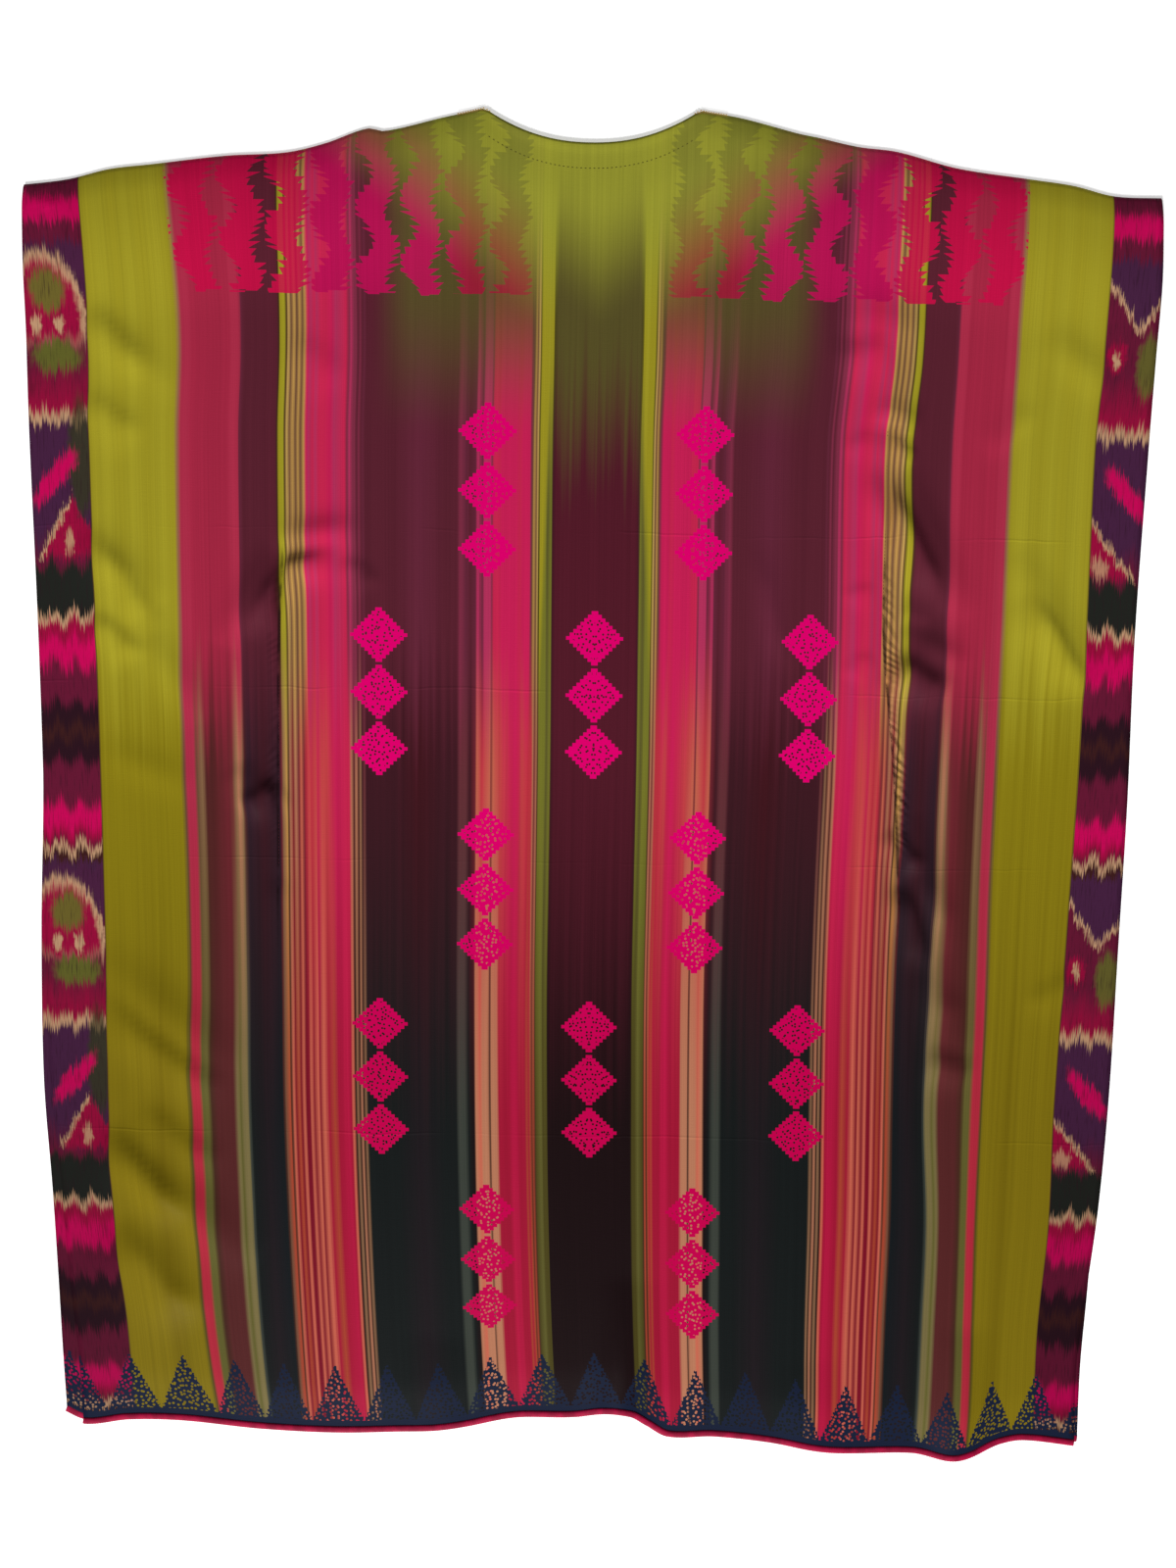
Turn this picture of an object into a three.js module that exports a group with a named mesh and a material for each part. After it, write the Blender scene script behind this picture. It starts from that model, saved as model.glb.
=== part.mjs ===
// A wide silk kaftan laid flat with its back up: two lengths of printed cloth, one on the other, sewn
// together at the shoulders and down the body, with a narrow roll along each lower edge.
// Millimetres. X runs across the garment, Y from the hem up to the neck, Z up from the surface it lies
// on. The origin is on that surface, under the middle of the garment's outline.
import * as THREE from 'three';

// Driving dimensions
const WALL = 1.2; // thickness of one layer, drawn a little stouter than silk
const SEAM_GAP = 0.3; // clearance between pieces that are sewn or lie together
const NECK_HALF_WIDTH = 103; // from the centre line to each neck corner
const BACK_NECK = { depth: 30, power: 2.2 }; // shallow curve at the back of the neck
const FRONT_NECK = { depth: 92, power: 2.6 }; // deeper scoop at the front, under the back
const HEM_ROLL_WIDTH = 5; // how far the rolled hem stands out from the cloth's edge
const BACK_HEM_HEIGHT = 1.8;
const FRONT_HEM_HEIGHT = 1.2; // pressed flat under the back
const FRONT_HEM_INSET = 4; // the front's hem lies this far inside the back's hem

// The upper layer lies loosely: its underside stands this far off the lower layer between seams.
const LOFT = 2.4;
const LOFT_FADE = 55; // width of the border in which the loft dies away
const SEAM_CHANNEL = 13; // half width of the channel that a body seam draws in

// Wing edges: distance out from the centre line for each layer, on the left and on the right.
const WING_EDGES = [
  { y: -668, backLeft: 526, frontLeft: 544, backRight: 545, frontRight: 549 },
  { y: -580, backLeft: 529, frontLeft: 547, backRight: 542, frontRight: 547 },
  { y: -500, backLeft: 536, frontLeft: 549, backRight: 547, frontRight: 549 },
  { y: -400, backLeft: 541, frontLeft: 552, backRight: 554, frontRight: 551 },
  { y: -280, backLeft: 549, frontLeft: 557, backRight: 557, frontRight: 552 },
  { y: -120, backLeft: 549, frontLeft: 554, backRight: 556, frontRight: 552 },
  { y: 30, backLeft: 546, frontLeft: 547, backRight: 555, frontRight: 553 },
  { y: 200, backLeft: 546, frontLeft: 545, backRight: 551, frontRight: 550 },
  { y: 390, backLeft: 548, frontLeft: 548, backRight: 552, frontRight: 551 },
  { y: 520, backLeft: 547, frontLeft: 547, backRight: 553, frontRight: 552 },
  { y: 616, backLeft: 545, frontLeft: 545, backRight: 548, frontRight: 548 },
];

// Lower edge of the cloth above its hem roll, which wavers where the cloth buckles.
const LOWER_EDGE = [
  { x: -545, y: -652 },
  { x: -524, y: -661 },
  { x: -478, y: -655 },
  { x: -420, y: -655 },
  { x: -335, y: -663 },
  { x: -250, y: -666 },
  { x: -170, y: -662 },
  { x: -115, y: -656 },
  { x: -60, y: -645 },
  { x: 5, y: -643 },
  { x: 45, y: -634 },
  { x: 66, y: -638 },
  { x: 84, y: -651 },
  { x: 106, y: -664 },
  { x: 155, y: -663 },
  { x: 220, y: -669 },
  { x: 290, y: -679 },
  { x: 370, y: -678 },
  { x: 408, y: -683 },
  { x: 434, y: -679 },
  { x: 464, y: -666 },
  { x: 490, y: -661 },
  { x: 549, y: -667 },
];

// Shoulder line, from each neck corner out to the wing's tip.
const SHOULDERS = [
  { out: 0, left: 687, right: 688 },
  { out: 40, left: 678, right: 682 },
  { out: 95, left: 665, right: 669 },
  { out: 112, left: 667, right: 666 },
  { out: 152, left: 653, right: 658 },
  { out: 190, left: 644, right: 654 },
  { out: 248, left: 640, right: 640 },
  { out: 320, left: 631, right: 631 },
  { out: 360, left: 626, right: 626 },
  { out: 400, left: 616, right: 617 },
  { out: 446, left: 610, right: 616 },
];

// Body seams: where each stitched line through both layers runs, from the underarm down.
const BODY_SEAMS = {
  left: [
    { y: -60, x: -308 },
    { y: 100, x: -306 },
    { y: 190, x: -304 },
    { y: 262, x: -300 },
  ],
  right: [
    { y: -60, x: 326 },
    { y: 60, x: 316 },
    { y: 190, x: 300 },
    { y: 300, x: 297 },
    { y: 394, x: 295 },
  ],
};

// Largest soft folds of the upper layer: a crest from one point to another, its half width and height.
const FOLDS = [
  { x0: -490, y0: 490, x1: -400, y1: 418, halfWidth: 16, height: 2.5 },
  { x0: -490, y0: 288, x1: -422, y1: 212, halfWidth: 16, height: 2.5 },
  { x0: -444, y0: 196, x1: -382, y1: 96, halfWidth: 18, height: 3 },
  { x0: -488, y0: 70, x1: -388, y1: 28, halfWidth: 18, height: 2 },
  { x0: -496, y0: -146, x1: -350, y1: -272, halfWidth: 24, height: 5 },
  { x0: -494, y0: -336, x1: -338, y1: -482, halfWidth: 26, height: 6 },
  { x0: -470, y0: -428, x1: -398, y1: -524, halfWidth: 18, height: 3 },
  { x0: -222, y0: 292, x1: -306, y1: 280, halfWidth: 14, height: 5 },
  { x0: -306, y0: 272, x1: -360, y1: 172, halfWidth: 15, height: 5 },
  { x0: -352, y0: 52, x1: -322, y1: 20, halfWidth: 16, height: 3 },
  { x0: 276, y0: 410, x1: 330, y1: 398, halfWidth: 13, height: 5 },
  { x0: 306, y0: 362, x1: 380, y1: 210, halfWidth: 16, height: 5 },
  { x0: 314, y0: 200, x1: 384, y1: 164, halfWidth: 15, height: 5 },
  { x0: 428, y0: 280, x1: 512, y1: 132, halfWidth: 17, height: 4 },
  { x0: 334, y0: 14, x1: 376, y1: -128, halfWidth: 16, height: 5.5 },
  { x0: 354, y0: -144, x1: 404, y1: -244, halfWidth: 18, height: 4 },
  { x0: 446, y0: 490, x1: 508, y1: 432, halfWidth: 17, height: 3 },
  { x0: 244, y0: 504, x1: 330, y1: 488, halfWidth: 18, height: 3 },
  { x0: 174, y0: 286, x1: 210, y1: 156, halfWidth: 16, height: 1.5 },
  { x0: 46, y0: -760, x1: 60, y1: -490, halfWidth: 26, height: 9 },
  { x0: 414, y0: -760, x1: 420, y1: -540, halfWidth: 24, height: 7 },
  { x0: -150, y0: -740, x1: -140, y1: -560, halfWidth: 34, height: 3 },
  { x0: 266, y0: -740, x1: 256, y1: -580, halfWidth: 34, height: 3 },
];

// Mesh columns of each layer, from wing to wing: close at the body seams and across the neck.
const WING_TIP = { left: -545, right: 548 };
const COLUMN_SPANS = [
  { to: -350, back: 9, front: 5 },
  { to: -260, back: 8, front: 3 },
  { to: -NECK_HALF_WIDTH, back: 7, front: 4 },
  { to: NECK_HALF_WIDTH, back: 14, front: 14 },
  { to: 260, back: 7, front: 4 },
  { to: 350, back: 8, front: 3 },
  { to: WING_TIP.right, back: 9, front: 5 },
];
const BACK_ROWS = 38;
const FRONT_ROWS = 16;

// Section of the rolled hem, a flattened bead: shares of its width outward and of its height, along the
// underside from the outer edge to the cloth and back over the top.
const HEM_ROLL_SECTION = [
  { out: 1, up: 0.3 },
  { out: 0.75, up: 0 },
  { out: 0.25, up: 0 },
  { out: 0, up: 0.25 },
  { out: 0, up: 0.75 },
  { out: 0.25, up: 1 },
  { out: 0.75, up: 1 },
  { out: 1, up: 0.7 },
];

const COLOURS = { back: 0x5f2337, front: 0x9a2350, hem: 0xc8004f };

function makeColumns(layerName) {
  const columns = [WING_TIP.left];
  for (const span of COLUMN_SPANS) {
    const from = columns[columns.length - 1];
    const parts = span[layerName];
    for (let i = 1; i <= parts; i += 1) {
      columns.push(from + ((span.to - from) * i) / parts);
    }
  }
  return columns;
}

// A smooth curve through a table's rows: the value in one column as a function of another.
function curveThrough(rows, at, value) {
  const last = rows.length - 1;
  const slopes = rows.map((row, i) => {
    const before = rows[Math.max(i - 1, 0)];
    const after = rows[Math.min(i + 1, last)];
    return (after[value] - before[value]) / (after[at] - before[at]);
  });
  return (position) => {
    let i = 0;
    while (i < last - 1 && position > rows[i + 1][at]) i += 1;
    const span = rows[i + 1][at] - rows[i][at];
    const t = THREE.MathUtils.clamp((position - rows[i][at]) / span, 0, 1);
    const rise = t * t * (3 - 2 * t);
    return (
      rows[i][value] * (1 - rise) +
      rows[i + 1][value] * rise +
      span * (slopes[i] * t * (1 - t) * (1 - t) - slopes[i + 1] * t * t * (1 - t))
    );
  };
}

const shoulderLeft = curveThrough(SHOULDERS, 'out', 'left');
const shoulderRight = curveThrough(SHOULDERS, 'out', 'right');
const lowerEdge = curveThrough(LOWER_EDGE, 'x', 'y');

// Upper edge of a layer: the shoulder line, or the neck curve between the neck corners.
function upperEdge(x, neck) {
  const out = Math.abs(x) - NECK_HALF_WIDTH;
  if (out >= 0) return x < 0 ? shoulderLeft(out) : shoulderRight(out);
  const across = x / NECK_HALF_WIDTH;
  const corners = THREE.MathUtils.lerp(SHOULDERS[0].left, SHOULDERS[0].right, (across + 1) / 2);
  return corners - neck.depth * (1 - Math.abs(across) ** neck.power);
}

// The outline of each layer, as functions of the place along it.
const BACK = {
  left: curveThrough(WING_EDGES, 'y', 'backLeft'),
  right: curveThrough(WING_EDGES, 'y', 'backRight'),
  upper: (x) => upperEdge(x, BACK_NECK),
  lower: (x) => lowerEdge(x),
};
const FRONT = {
  left: curveThrough(WING_EDGES, 'y', 'frontLeft'),
  right: curveThrough(WING_EDGES, 'y', 'frontRight'),
  upper: (x) => upperEdge(x, FRONT_NECK),
  lower: (x) => lowerEdge(x) + FRONT_HEM_INSET,
};

const SEAMS = Object.values(BODY_SEAMS).map((rows) => ({
  xAt: curveThrough(rows, 'y', 'x'),
  low: rows[0].y,
  high: rows[rows.length - 1].y,
}));

// How far out a column of the layer runs, once the neck's width is kept and the wing is stretched.
function columnAt(layer, column, y) {
  const wing = column < 0 ? layer.left(y) : layer.right(y);
  const tip = column < 0 ? -WING_TIP.left : WING_TIP.right;
  const out = Math.max(Math.abs(column) - NECK_HALF_WIDTH, 0);
  const stretched = (out * (wing - NECK_HALF_WIDTH)) / (tip - NECK_HALF_WIDTH);
  return Math.sign(column) * (Math.abs(column) - out + stretched);
}

// Where the point of a layer lies that is in a given column, a given share of the way up.
function pointOnLayer(layer, column, up) {
  const yNear = THREE.MathUtils.lerp(layer.lower(column), layer.upper(column), up);
  const x = columnAt(layer, column, yNear);
  const y = THREE.MathUtils.lerp(layer.lower(x), layer.upper(x), up);
  return { x, y };
}

function foldHeight(fold, x, y) {
  const alongX = fold.x1 - fold.x0;
  const alongY = fold.y1 - fold.y0;
  const length = Math.hypot(alongX, alongY);
  const share = ((x - fold.x0) * alongX + (y - fold.y0) * alongY) / length ** 2;
  const aside = ((x - fold.x0) * alongY - (y - fold.y0) * alongX) / length;
  if (share <= 0 || share >= 1) return 0;
  return fold.height * Math.sin(Math.PI * share) * Math.exp(-((aside / fold.halfWidth) ** 2));
}

// How much a body seam holds the layers together: 1 on the stitched line, 0 away from it.
function seamHold(seam, x, y) {
  const past = Math.max(seam.low - y, y - seam.high, 0);
  const aside = x - seam.xAt(y);
  return Math.exp(-((aside / SEAM_CHANNEL) ** 2) - (past / SEAM_CHANNEL) ** 2);
}

// Height of the upper layer's underside above the seams' gap over the lower layer.
function loftAt(x, y) {
  const sideInset = Math.min(x + BACK.left(y), BACK.right(y) - x);
  const inset = Math.min(sideInset, BACK.upper(x) - y, y - BACK.lower(x));
  const loose = LOFT * THREE.MathUtils.smoothstep(inset, 0, LOFT_FADE);
  const folds = FOLDS.reduce((sum, fold) => sum + foldHeight(fold, x, y), 0);
  const free = SEAMS.reduce((share, seam) => share * (1 - seamHold(seam, x, y)), 1);
  return (loose + folds) * free;
}

const backUnderside = (x, y) => WALL + SEAM_GAP + loftAt(x, y);

// A closed mesh through rings of points. Each ring runs along its lower side and back along its upper
// side, so the two ends are closed by strips between the sides.
function meshThroughRings(rings, name, colour) {
  const count = rings[0].length;
  const faces = [];
  for (let i = 0; i < rings.length - 1; i += 1) {
    for (let j = 0; j < count; j += 1) {
      const here = i * count + j;
      const beside = i * count + ((j + 1) % count);
      faces.push(here, beside, here + count);
      faces.push(beside, beside + count, here + count);
    }
  }
  const lastRing = (rings.length - 1) * count;
  for (let low = 0; low < count / 2 - 1; low += 1) {
    const high = count - 1 - low;
    faces.push(low, high, low + 1);
    faces.push(low + 1, high, high - 1);
    faces.push(lastRing + low, lastRing + low + 1, lastRing + high);
    faces.push(lastRing + low + 1, lastRing + high - 1, lastRing + high);
  }
  const geometry = new THREE.BufferGeometry();
  const positions = rings.flat().flatMap((point) => [point.x, point.y, point.z]);
  geometry.setAttribute('position', new THREE.Float32BufferAttribute(positions, 3));
  geometry.setIndex(faces);
  geometry.computeVertexNormals();
  const material = new THREE.MeshStandardMaterial({ color: colour, roughness: 0.5, metalness: 0 });
  const mesh = new THREE.Mesh(geometry, material);
  mesh.name = name;
  return mesh;
}

// One layer of cloth as a wall between its underside and the same surface moved up.
function makePanel(layer, columns, rows, underside, name, colour) {
  const rings = columns.map((column) => {
    const lower = [];
    for (let i = 0; i <= rows; i += 1) {
      const { x, y } = pointOnLayer(layer, column, i / rows);
      lower.push({ x, y, z: underside(x, y) });
    }
    const upper = lower.map(({ x, y, z }) => ({ x, y, z: z + WALL })).reverse();
    return [...lower, ...upper];
  });
  return meshThroughRings(rings, name, colour);
}

// The cloth's lower edge rolled over on itself, as a soft bead that follows the edge.
function makeHemRoll(layer, columns, height, underside, name, colour) {
  const edge = columns.map((column) => pointOnLayer(layer, column, 0));
  const rings = edge.map((point, i) => {
    const before = edge[Math.max(i - 1, 0)];
    const after = edge[Math.min(i + 1, edge.length - 1)];
    const length = Math.hypot(after.x - before.x, after.y - before.y);
    const outward = { x: (after.y - before.y) / length, y: (before.x - after.x) / length };
    const floor = underside(point.x, point.y);
    return HEM_ROLL_SECTION.map(({ out, up }) => ({
      x: point.x + outward.x * (SEAM_GAP + out * HEM_ROLL_WIDTH),
      y: point.y + outward.y * (SEAM_GAP + out * HEM_ROLL_WIDTH),
      z: floor + up * height,
    }));
  });
  return meshThroughRings(rings, name, colour);
}

const backColumns = makeColumns('back');
const frontColumns = makeColumns('front');
const onSurface = () => 0;

const kaftan = new THREE.Group();
kaftan.add(makePanel(FRONT, frontColumns, FRONT_ROWS, onSurface, 'front_panel', COLOURS.front));
kaftan.add(makeHemRoll(FRONT, frontColumns, FRONT_HEM_HEIGHT, onSurface, 'front_hem', COLOURS.hem));
kaftan.add(makePanel(BACK, backColumns, BACK_ROWS, backUnderside, 'back_panel', COLOURS.back));
kaftan.add(makeHemRoll(BACK, backColumns, BACK_HEM_HEIGHT, backUnderside, 'back_hem', COLOURS.hem));

export default kaftan;
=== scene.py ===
# %% [markdown]
# # A printed silk kaftan, laid flat with its back up
#
# The garment is two lengths of printed silk, one on the other, sewn together at the shoulders and down
# the body. In this lesson the CAD model is the fixed frame: it says where each layer lies and how big it
# is. Blender gives each layer a thin shell with finer, sharper creases, the printed silk and the sewing.

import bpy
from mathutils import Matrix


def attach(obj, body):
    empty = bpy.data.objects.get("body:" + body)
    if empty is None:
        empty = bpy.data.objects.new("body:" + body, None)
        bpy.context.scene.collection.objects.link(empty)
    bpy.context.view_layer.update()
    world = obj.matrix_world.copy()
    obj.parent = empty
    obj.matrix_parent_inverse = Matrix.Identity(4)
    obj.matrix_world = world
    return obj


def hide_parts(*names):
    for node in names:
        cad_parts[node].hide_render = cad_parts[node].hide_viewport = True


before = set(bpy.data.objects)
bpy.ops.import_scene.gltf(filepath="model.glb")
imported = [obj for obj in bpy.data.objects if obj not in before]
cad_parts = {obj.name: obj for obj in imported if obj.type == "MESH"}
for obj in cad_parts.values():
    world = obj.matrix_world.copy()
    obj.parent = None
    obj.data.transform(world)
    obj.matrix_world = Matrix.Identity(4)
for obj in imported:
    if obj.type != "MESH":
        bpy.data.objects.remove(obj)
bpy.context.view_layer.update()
print("nodes:", sorted(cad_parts))

# %% [markdown]
# Blender works in metres, but a tailor thinks in millimetres. Every table below is in millimetres, in
# the frame's own directions: X across the garment, Y from the hem up to the neck, Z up from the floor.

# %% Units and helpers for numbers
import math

import bpy
import numpy as np
from mathutils import Matrix

MM = 0.001


def smooth_step(value, low, high):
    share = np.clip((value - low) / (high - low), 0, 1)
    return share * share * (3 - 2 * share)


def smooth_curve(rows, at, value):
    """A smooth curve through a table's rows: the column `value` as a function of the column `at`."""
    places = np.array([row[at] for row in rows], float)
    values = np.array([row[value] for row in rows], float)
    before = np.maximum(np.arange(len(rows)) - 1, 0)
    after = np.minimum(np.arange(len(rows)) + 1, len(rows) - 1)
    slopes = (values[after] - values[before]) / (places[after] - places[before])

    def curve(position):
        i = np.searchsorted(places[1:-1], position, side="left")
        span = places[i + 1] - places[i]
        t = np.clip((position - places[i]) / span, 0, 1)
        rise = t * t * (3 - 2 * t)
        bend = slopes[i] * t * (1 - t) ** 2 - slopes[i + 1] * t * t * (1 - t)
        return values[i] * (1 - rise) + values[i + 1] * rise + span * bend

    return curve


print("one metre is", 1 / MM, "mm")

# %% [markdown]
# ## The camera
#
# The picture was taken from straight above the cloth, a little tilted and rolled, by a wide lens. A
# camera can be placed by eye, but here its height and tilt come from how the garment narrows towards
# its far end, so they are written down as numbers.

# %% Place the camera
CAMERA_PLACE = (0.007, 0.1748, 1.1922)
CAMERA_TILT = math.radians(-6.45)
CAMERA_ROLL = math.radians(1.0)
LENS_FOR_LONG_SIDE = 1204 / 1600

camera_data = bpy.data.cameras.new("camera")
camera_data.sensor_fit = "AUTO"
camera_data.sensor_width = 36
camera_data.lens = LENS_FOR_LONG_SIDE * camera_data.sensor_width
camera = bpy.data.objects.new("camera", camera_data)
bpy.context.scene.collection.objects.link(camera)
turn = Matrix.Rotation(CAMERA_TILT, 4, "X") @ Matrix.Rotation(CAMERA_ROLL, 4, "Z")
camera.matrix_world = Matrix.Translation(CAMERA_PLACE) @ turn
bpy.context.scene.camera = camera
print("lens in mm:", round(camera_data.lens, 2))

# %% [markdown]
# ## Floor and light
#
# The garment lies on a plain white surface. A large soft lamp far off beyond the hem shines low over the
# cloth, so that every slope that turns away from it goes dark. A weak lamp and a pale world fill the
# shadows. The Standard view keeps the dyes as bright as they are.

# %% Set the floor and the light
FLOOR_SIZE = 8.0
FLOOR_DROP = 0.0002

bpy.ops.object.select_all(action="DESELECT")
bpy.ops.mesh.primitive_plane_add(size=FLOOR_SIZE, location=(0, 0, -FLOOR_DROP))
floor = bpy.context.object
floor.name = "floor"

LAMPS = [
    {"name": "window_lamp", "place": (-1.7, -8.8, 5.4), "size": 2.2, "power": 1480},
    {"name": "fill_lamp", "place": (2.4, 3.2, 4.5), "size": 3.0, "power": 30},
]
for row in LAMPS:
    lamp_data = bpy.data.lights.new(row["name"], "AREA")
    lamp_data.shape = "DISK"
    lamp_data.size = row["size"]
    lamp_data.energy = row["power"]
    lamp = bpy.data.objects.new(row["name"], lamp_data)
    bpy.context.scene.collection.objects.link(lamp)
    x, y, z = row["place"]
    lamp.location = row["place"]
    lamp.rotation_euler = (math.atan2(math.hypot(x, y), z), 0, math.atan2(x, -y))

WORLD_STRENGTH = 0.14
world = bpy.data.worlds.new("pale_room")
world.use_nodes = True
world.node_tree.nodes["Background"].inputs["Color"].default_value = (1, 1, 1, 1)
world.node_tree.nodes["Background"].inputs["Strength"].default_value = WORLD_STRENGTH
bpy.context.scene.world = world
bpy.context.scene.view_settings.view_transform = "Standard"
print("lamps:", len(LAMPS))

# %% [markdown]
# ## The shape of each layer
#
# Both layers are cut alike: a wide rectangle whose upper corners slope into the shoulders, with a neck
# curve between them. The back's neck is shallow and the front's is deeper. The tables give the edges as
# they lie, a little uneven, because cloth on a floor is never quite square.

# %% Tables of the outline
WALL = 1.2
SEAM_GAP = 0.3
NECK_HALF_WIDTH = 103
BACK_NECK = {"depth": 30, "power": 2.2}
FRONT_NECK = {"depth": 92, "power": 2.6}
FRONT_HEM_LIFT = 4
WING_TIP = {"left": 545, "right": 548}

HEIGHT, BACK_LEFT, FRONT_LEFT, BACK_RIGHT, FRONT_RIGHT = range(5)
WING_EDGES = [
    (-668, 526, 544, 545, 549),
    (-580, 529, 547, 542, 547),
    (-500, 536, 549, 547, 549),
    (-400, 541, 552, 554, 551),
    (-280, 549, 557, 557, 552),
    (-120, 549, 554, 556, 552),
    (30, 546, 547, 555, 553),
    (200, 546, 545, 551, 550),
    (390, 548, 548, 552, 551),
    (520, 547, 547, 553, 552),
    (616, 545, 545, 548, 548),
]

ACROSS, EDGE = range(2)
LOWER_EDGE = [
    (-545, -652),
    (-524, -661),
    (-478, -655),
    (-420, -655),
    (-335, -663),
    (-250, -666),
    (-170, -662),
    (-115, -656),
    (-60, -645),
    (5, -643),
    (45, -634),
    (66, -638),
    (84, -651),
    (106, -664),
    (155, -663),
    (220, -669),
    (290, -679),
    (370, -678),
    (408, -683),
    (434, -679),
    (464, -666),
    (490, -661),
    (549, -667),
]

OUT, LEFT, RIGHT = range(3)
SHOULDERS = [
    (0, 687, 688),
    (40, 678, 682),
    (95, 665, 669),
    (112, 667, 666),
    (152, 653, 658),
    (190, 644, 654),
    (248, 640, 640),
    (320, 631, 631),
    (360, 626, 626),
    (400, 616, 617),
    (446, 610, 616),
]
print("rows:", len(WING_EDGES), len(LOWER_EDGE), len(SHOULDERS))

# %% Edges of the back and the front
shoulder_left = smooth_curve(SHOULDERS, OUT, LEFT)
shoulder_right = smooth_curve(SHOULDERS, OUT, RIGHT)
lower_edge = smooth_curve(LOWER_EDGE, ACROSS, EDGE)


def upper_edge(x, depth, power):
    """The neck's curve between the neck corners and the shoulder line outside them."""
    out = np.abs(x) - NECK_HALF_WIDTH
    across = np.clip(x / NECK_HALF_WIDTH, -1, 1)
    corners = SHOULDERS[0][LEFT] + (SHOULDERS[0][RIGHT] - SHOULDERS[0][LEFT]) * (across + 1) / 2
    neck = corners - depth * (1 - np.abs(across) ** power)
    shoulder = np.where(x < 0, shoulder_left(np.maximum(out, 0)), shoulder_right(np.maximum(out, 0)))
    return np.where(out >= 0, shoulder, neck)


BACK = {
    "left": smooth_curve(WING_EDGES, HEIGHT, BACK_LEFT),
    "right": smooth_curve(WING_EDGES, HEIGHT, BACK_RIGHT),
    "upper": lambda x: upper_edge(x, **BACK_NECK),
    "lower": lower_edge,
}
FRONT = {
    "left": smooth_curve(WING_EDGES, HEIGHT, FRONT_LEFT),
    "right": smooth_curve(WING_EDGES, HEIGHT, FRONT_RIGHT),
    "upper": lambda x: upper_edge(x, **FRONT_NECK),
    "lower": lambda x: lower_edge(x) + FRONT_HEM_LIFT,
}


def column_at(layer, column, y):
    """Where a column of the cloth runs at height y, once the neck keeps its width."""
    wing = np.where(column < 0, layer["left"](y), layer["right"](y))
    tip = np.where(column < 0, WING_TIP["left"], WING_TIP["right"])
    out = np.maximum(np.abs(column) - NECK_HALF_WIDTH, 0)
    stretched = out * (wing - NECK_HALF_WIDTH) / (tip - NECK_HALF_WIDTH)
    return np.sign(column) * (np.abs(column) - out + stretched)


def point_on_layer(layer, column, up):
    """The place in a given column, a given share of the way up from the hem."""
    y_near = layer["lower"](column) * (1 - up) + layer["upper"](column) * up
    x = column_at(layer, column, y_near)
    return x, layer["lower"](x) * (1 - up) + layer["upper"](x) * up


print("back's neck edge at the middle:", round(float(BACK["upper"](0.0)), 1))

# %% [markdown]
# ## Folds
#
# The lower layer lies flat. The upper one lies loosely on it, pulled in along the two body seams, and
# carries a few soft folds. Each fold is a crest between two points with a half width and a height. A
# simulation would give some folds, but not these ones, so the crests are listed one by one.

# %% Tables of the seams and the largest folds
BODY_SEAMS = [
    [(-60, -308), (100, -306), (190, -304), (262, -300)],
    [(-60, 326), (60, 316), (190, 300), (300, 297), (394, 295)],
]

# x and y of one end, x and y of the other end, half width, height
FOLDS = [
    (-490, 490, -400, 418, 16, 2.5),
    (-490, 288, -422, 212, 16, 2.5),
    (-444, 196, -382, 96, 18, 3),
    (-488, 70, -388, 28, 18, 2),
    (-496, -146, -350, -272, 24, 5),
    (-494, -336, -338, -482, 26, 6),
    (-470, -428, -398, -524, 18, 3),
    (-222, 292, -306, 280, 14, 5),
    (-306, 272, -360, 172, 15, 5),
    (-352, 52, -322, 20, 16, 3),
    (276, 410, 330, 398, 13, 5),
    (306, 362, 380, 210, 16, 5),
    (314, 200, 384, 164, 15, 5),
    (428, 280, 512, 132, 17, 4),
    (334, 14, 376, -128, 16, 5.5),
    (354, -144, 404, -244, 18, 4),
    (446, 490, 508, 432, 17, 3),
    (244, 504, 330, 488, 18, 3),
    (174, 286, 210, 156, 16, 1.5),
    (46, -760, 60, -490, 26, 9),
    (414, -760, 420, -540, 24, 7),
    (-150, -740, -140, -560, 34, 3),
    (266, -740, 256, -580, 34, 3),
]

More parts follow.
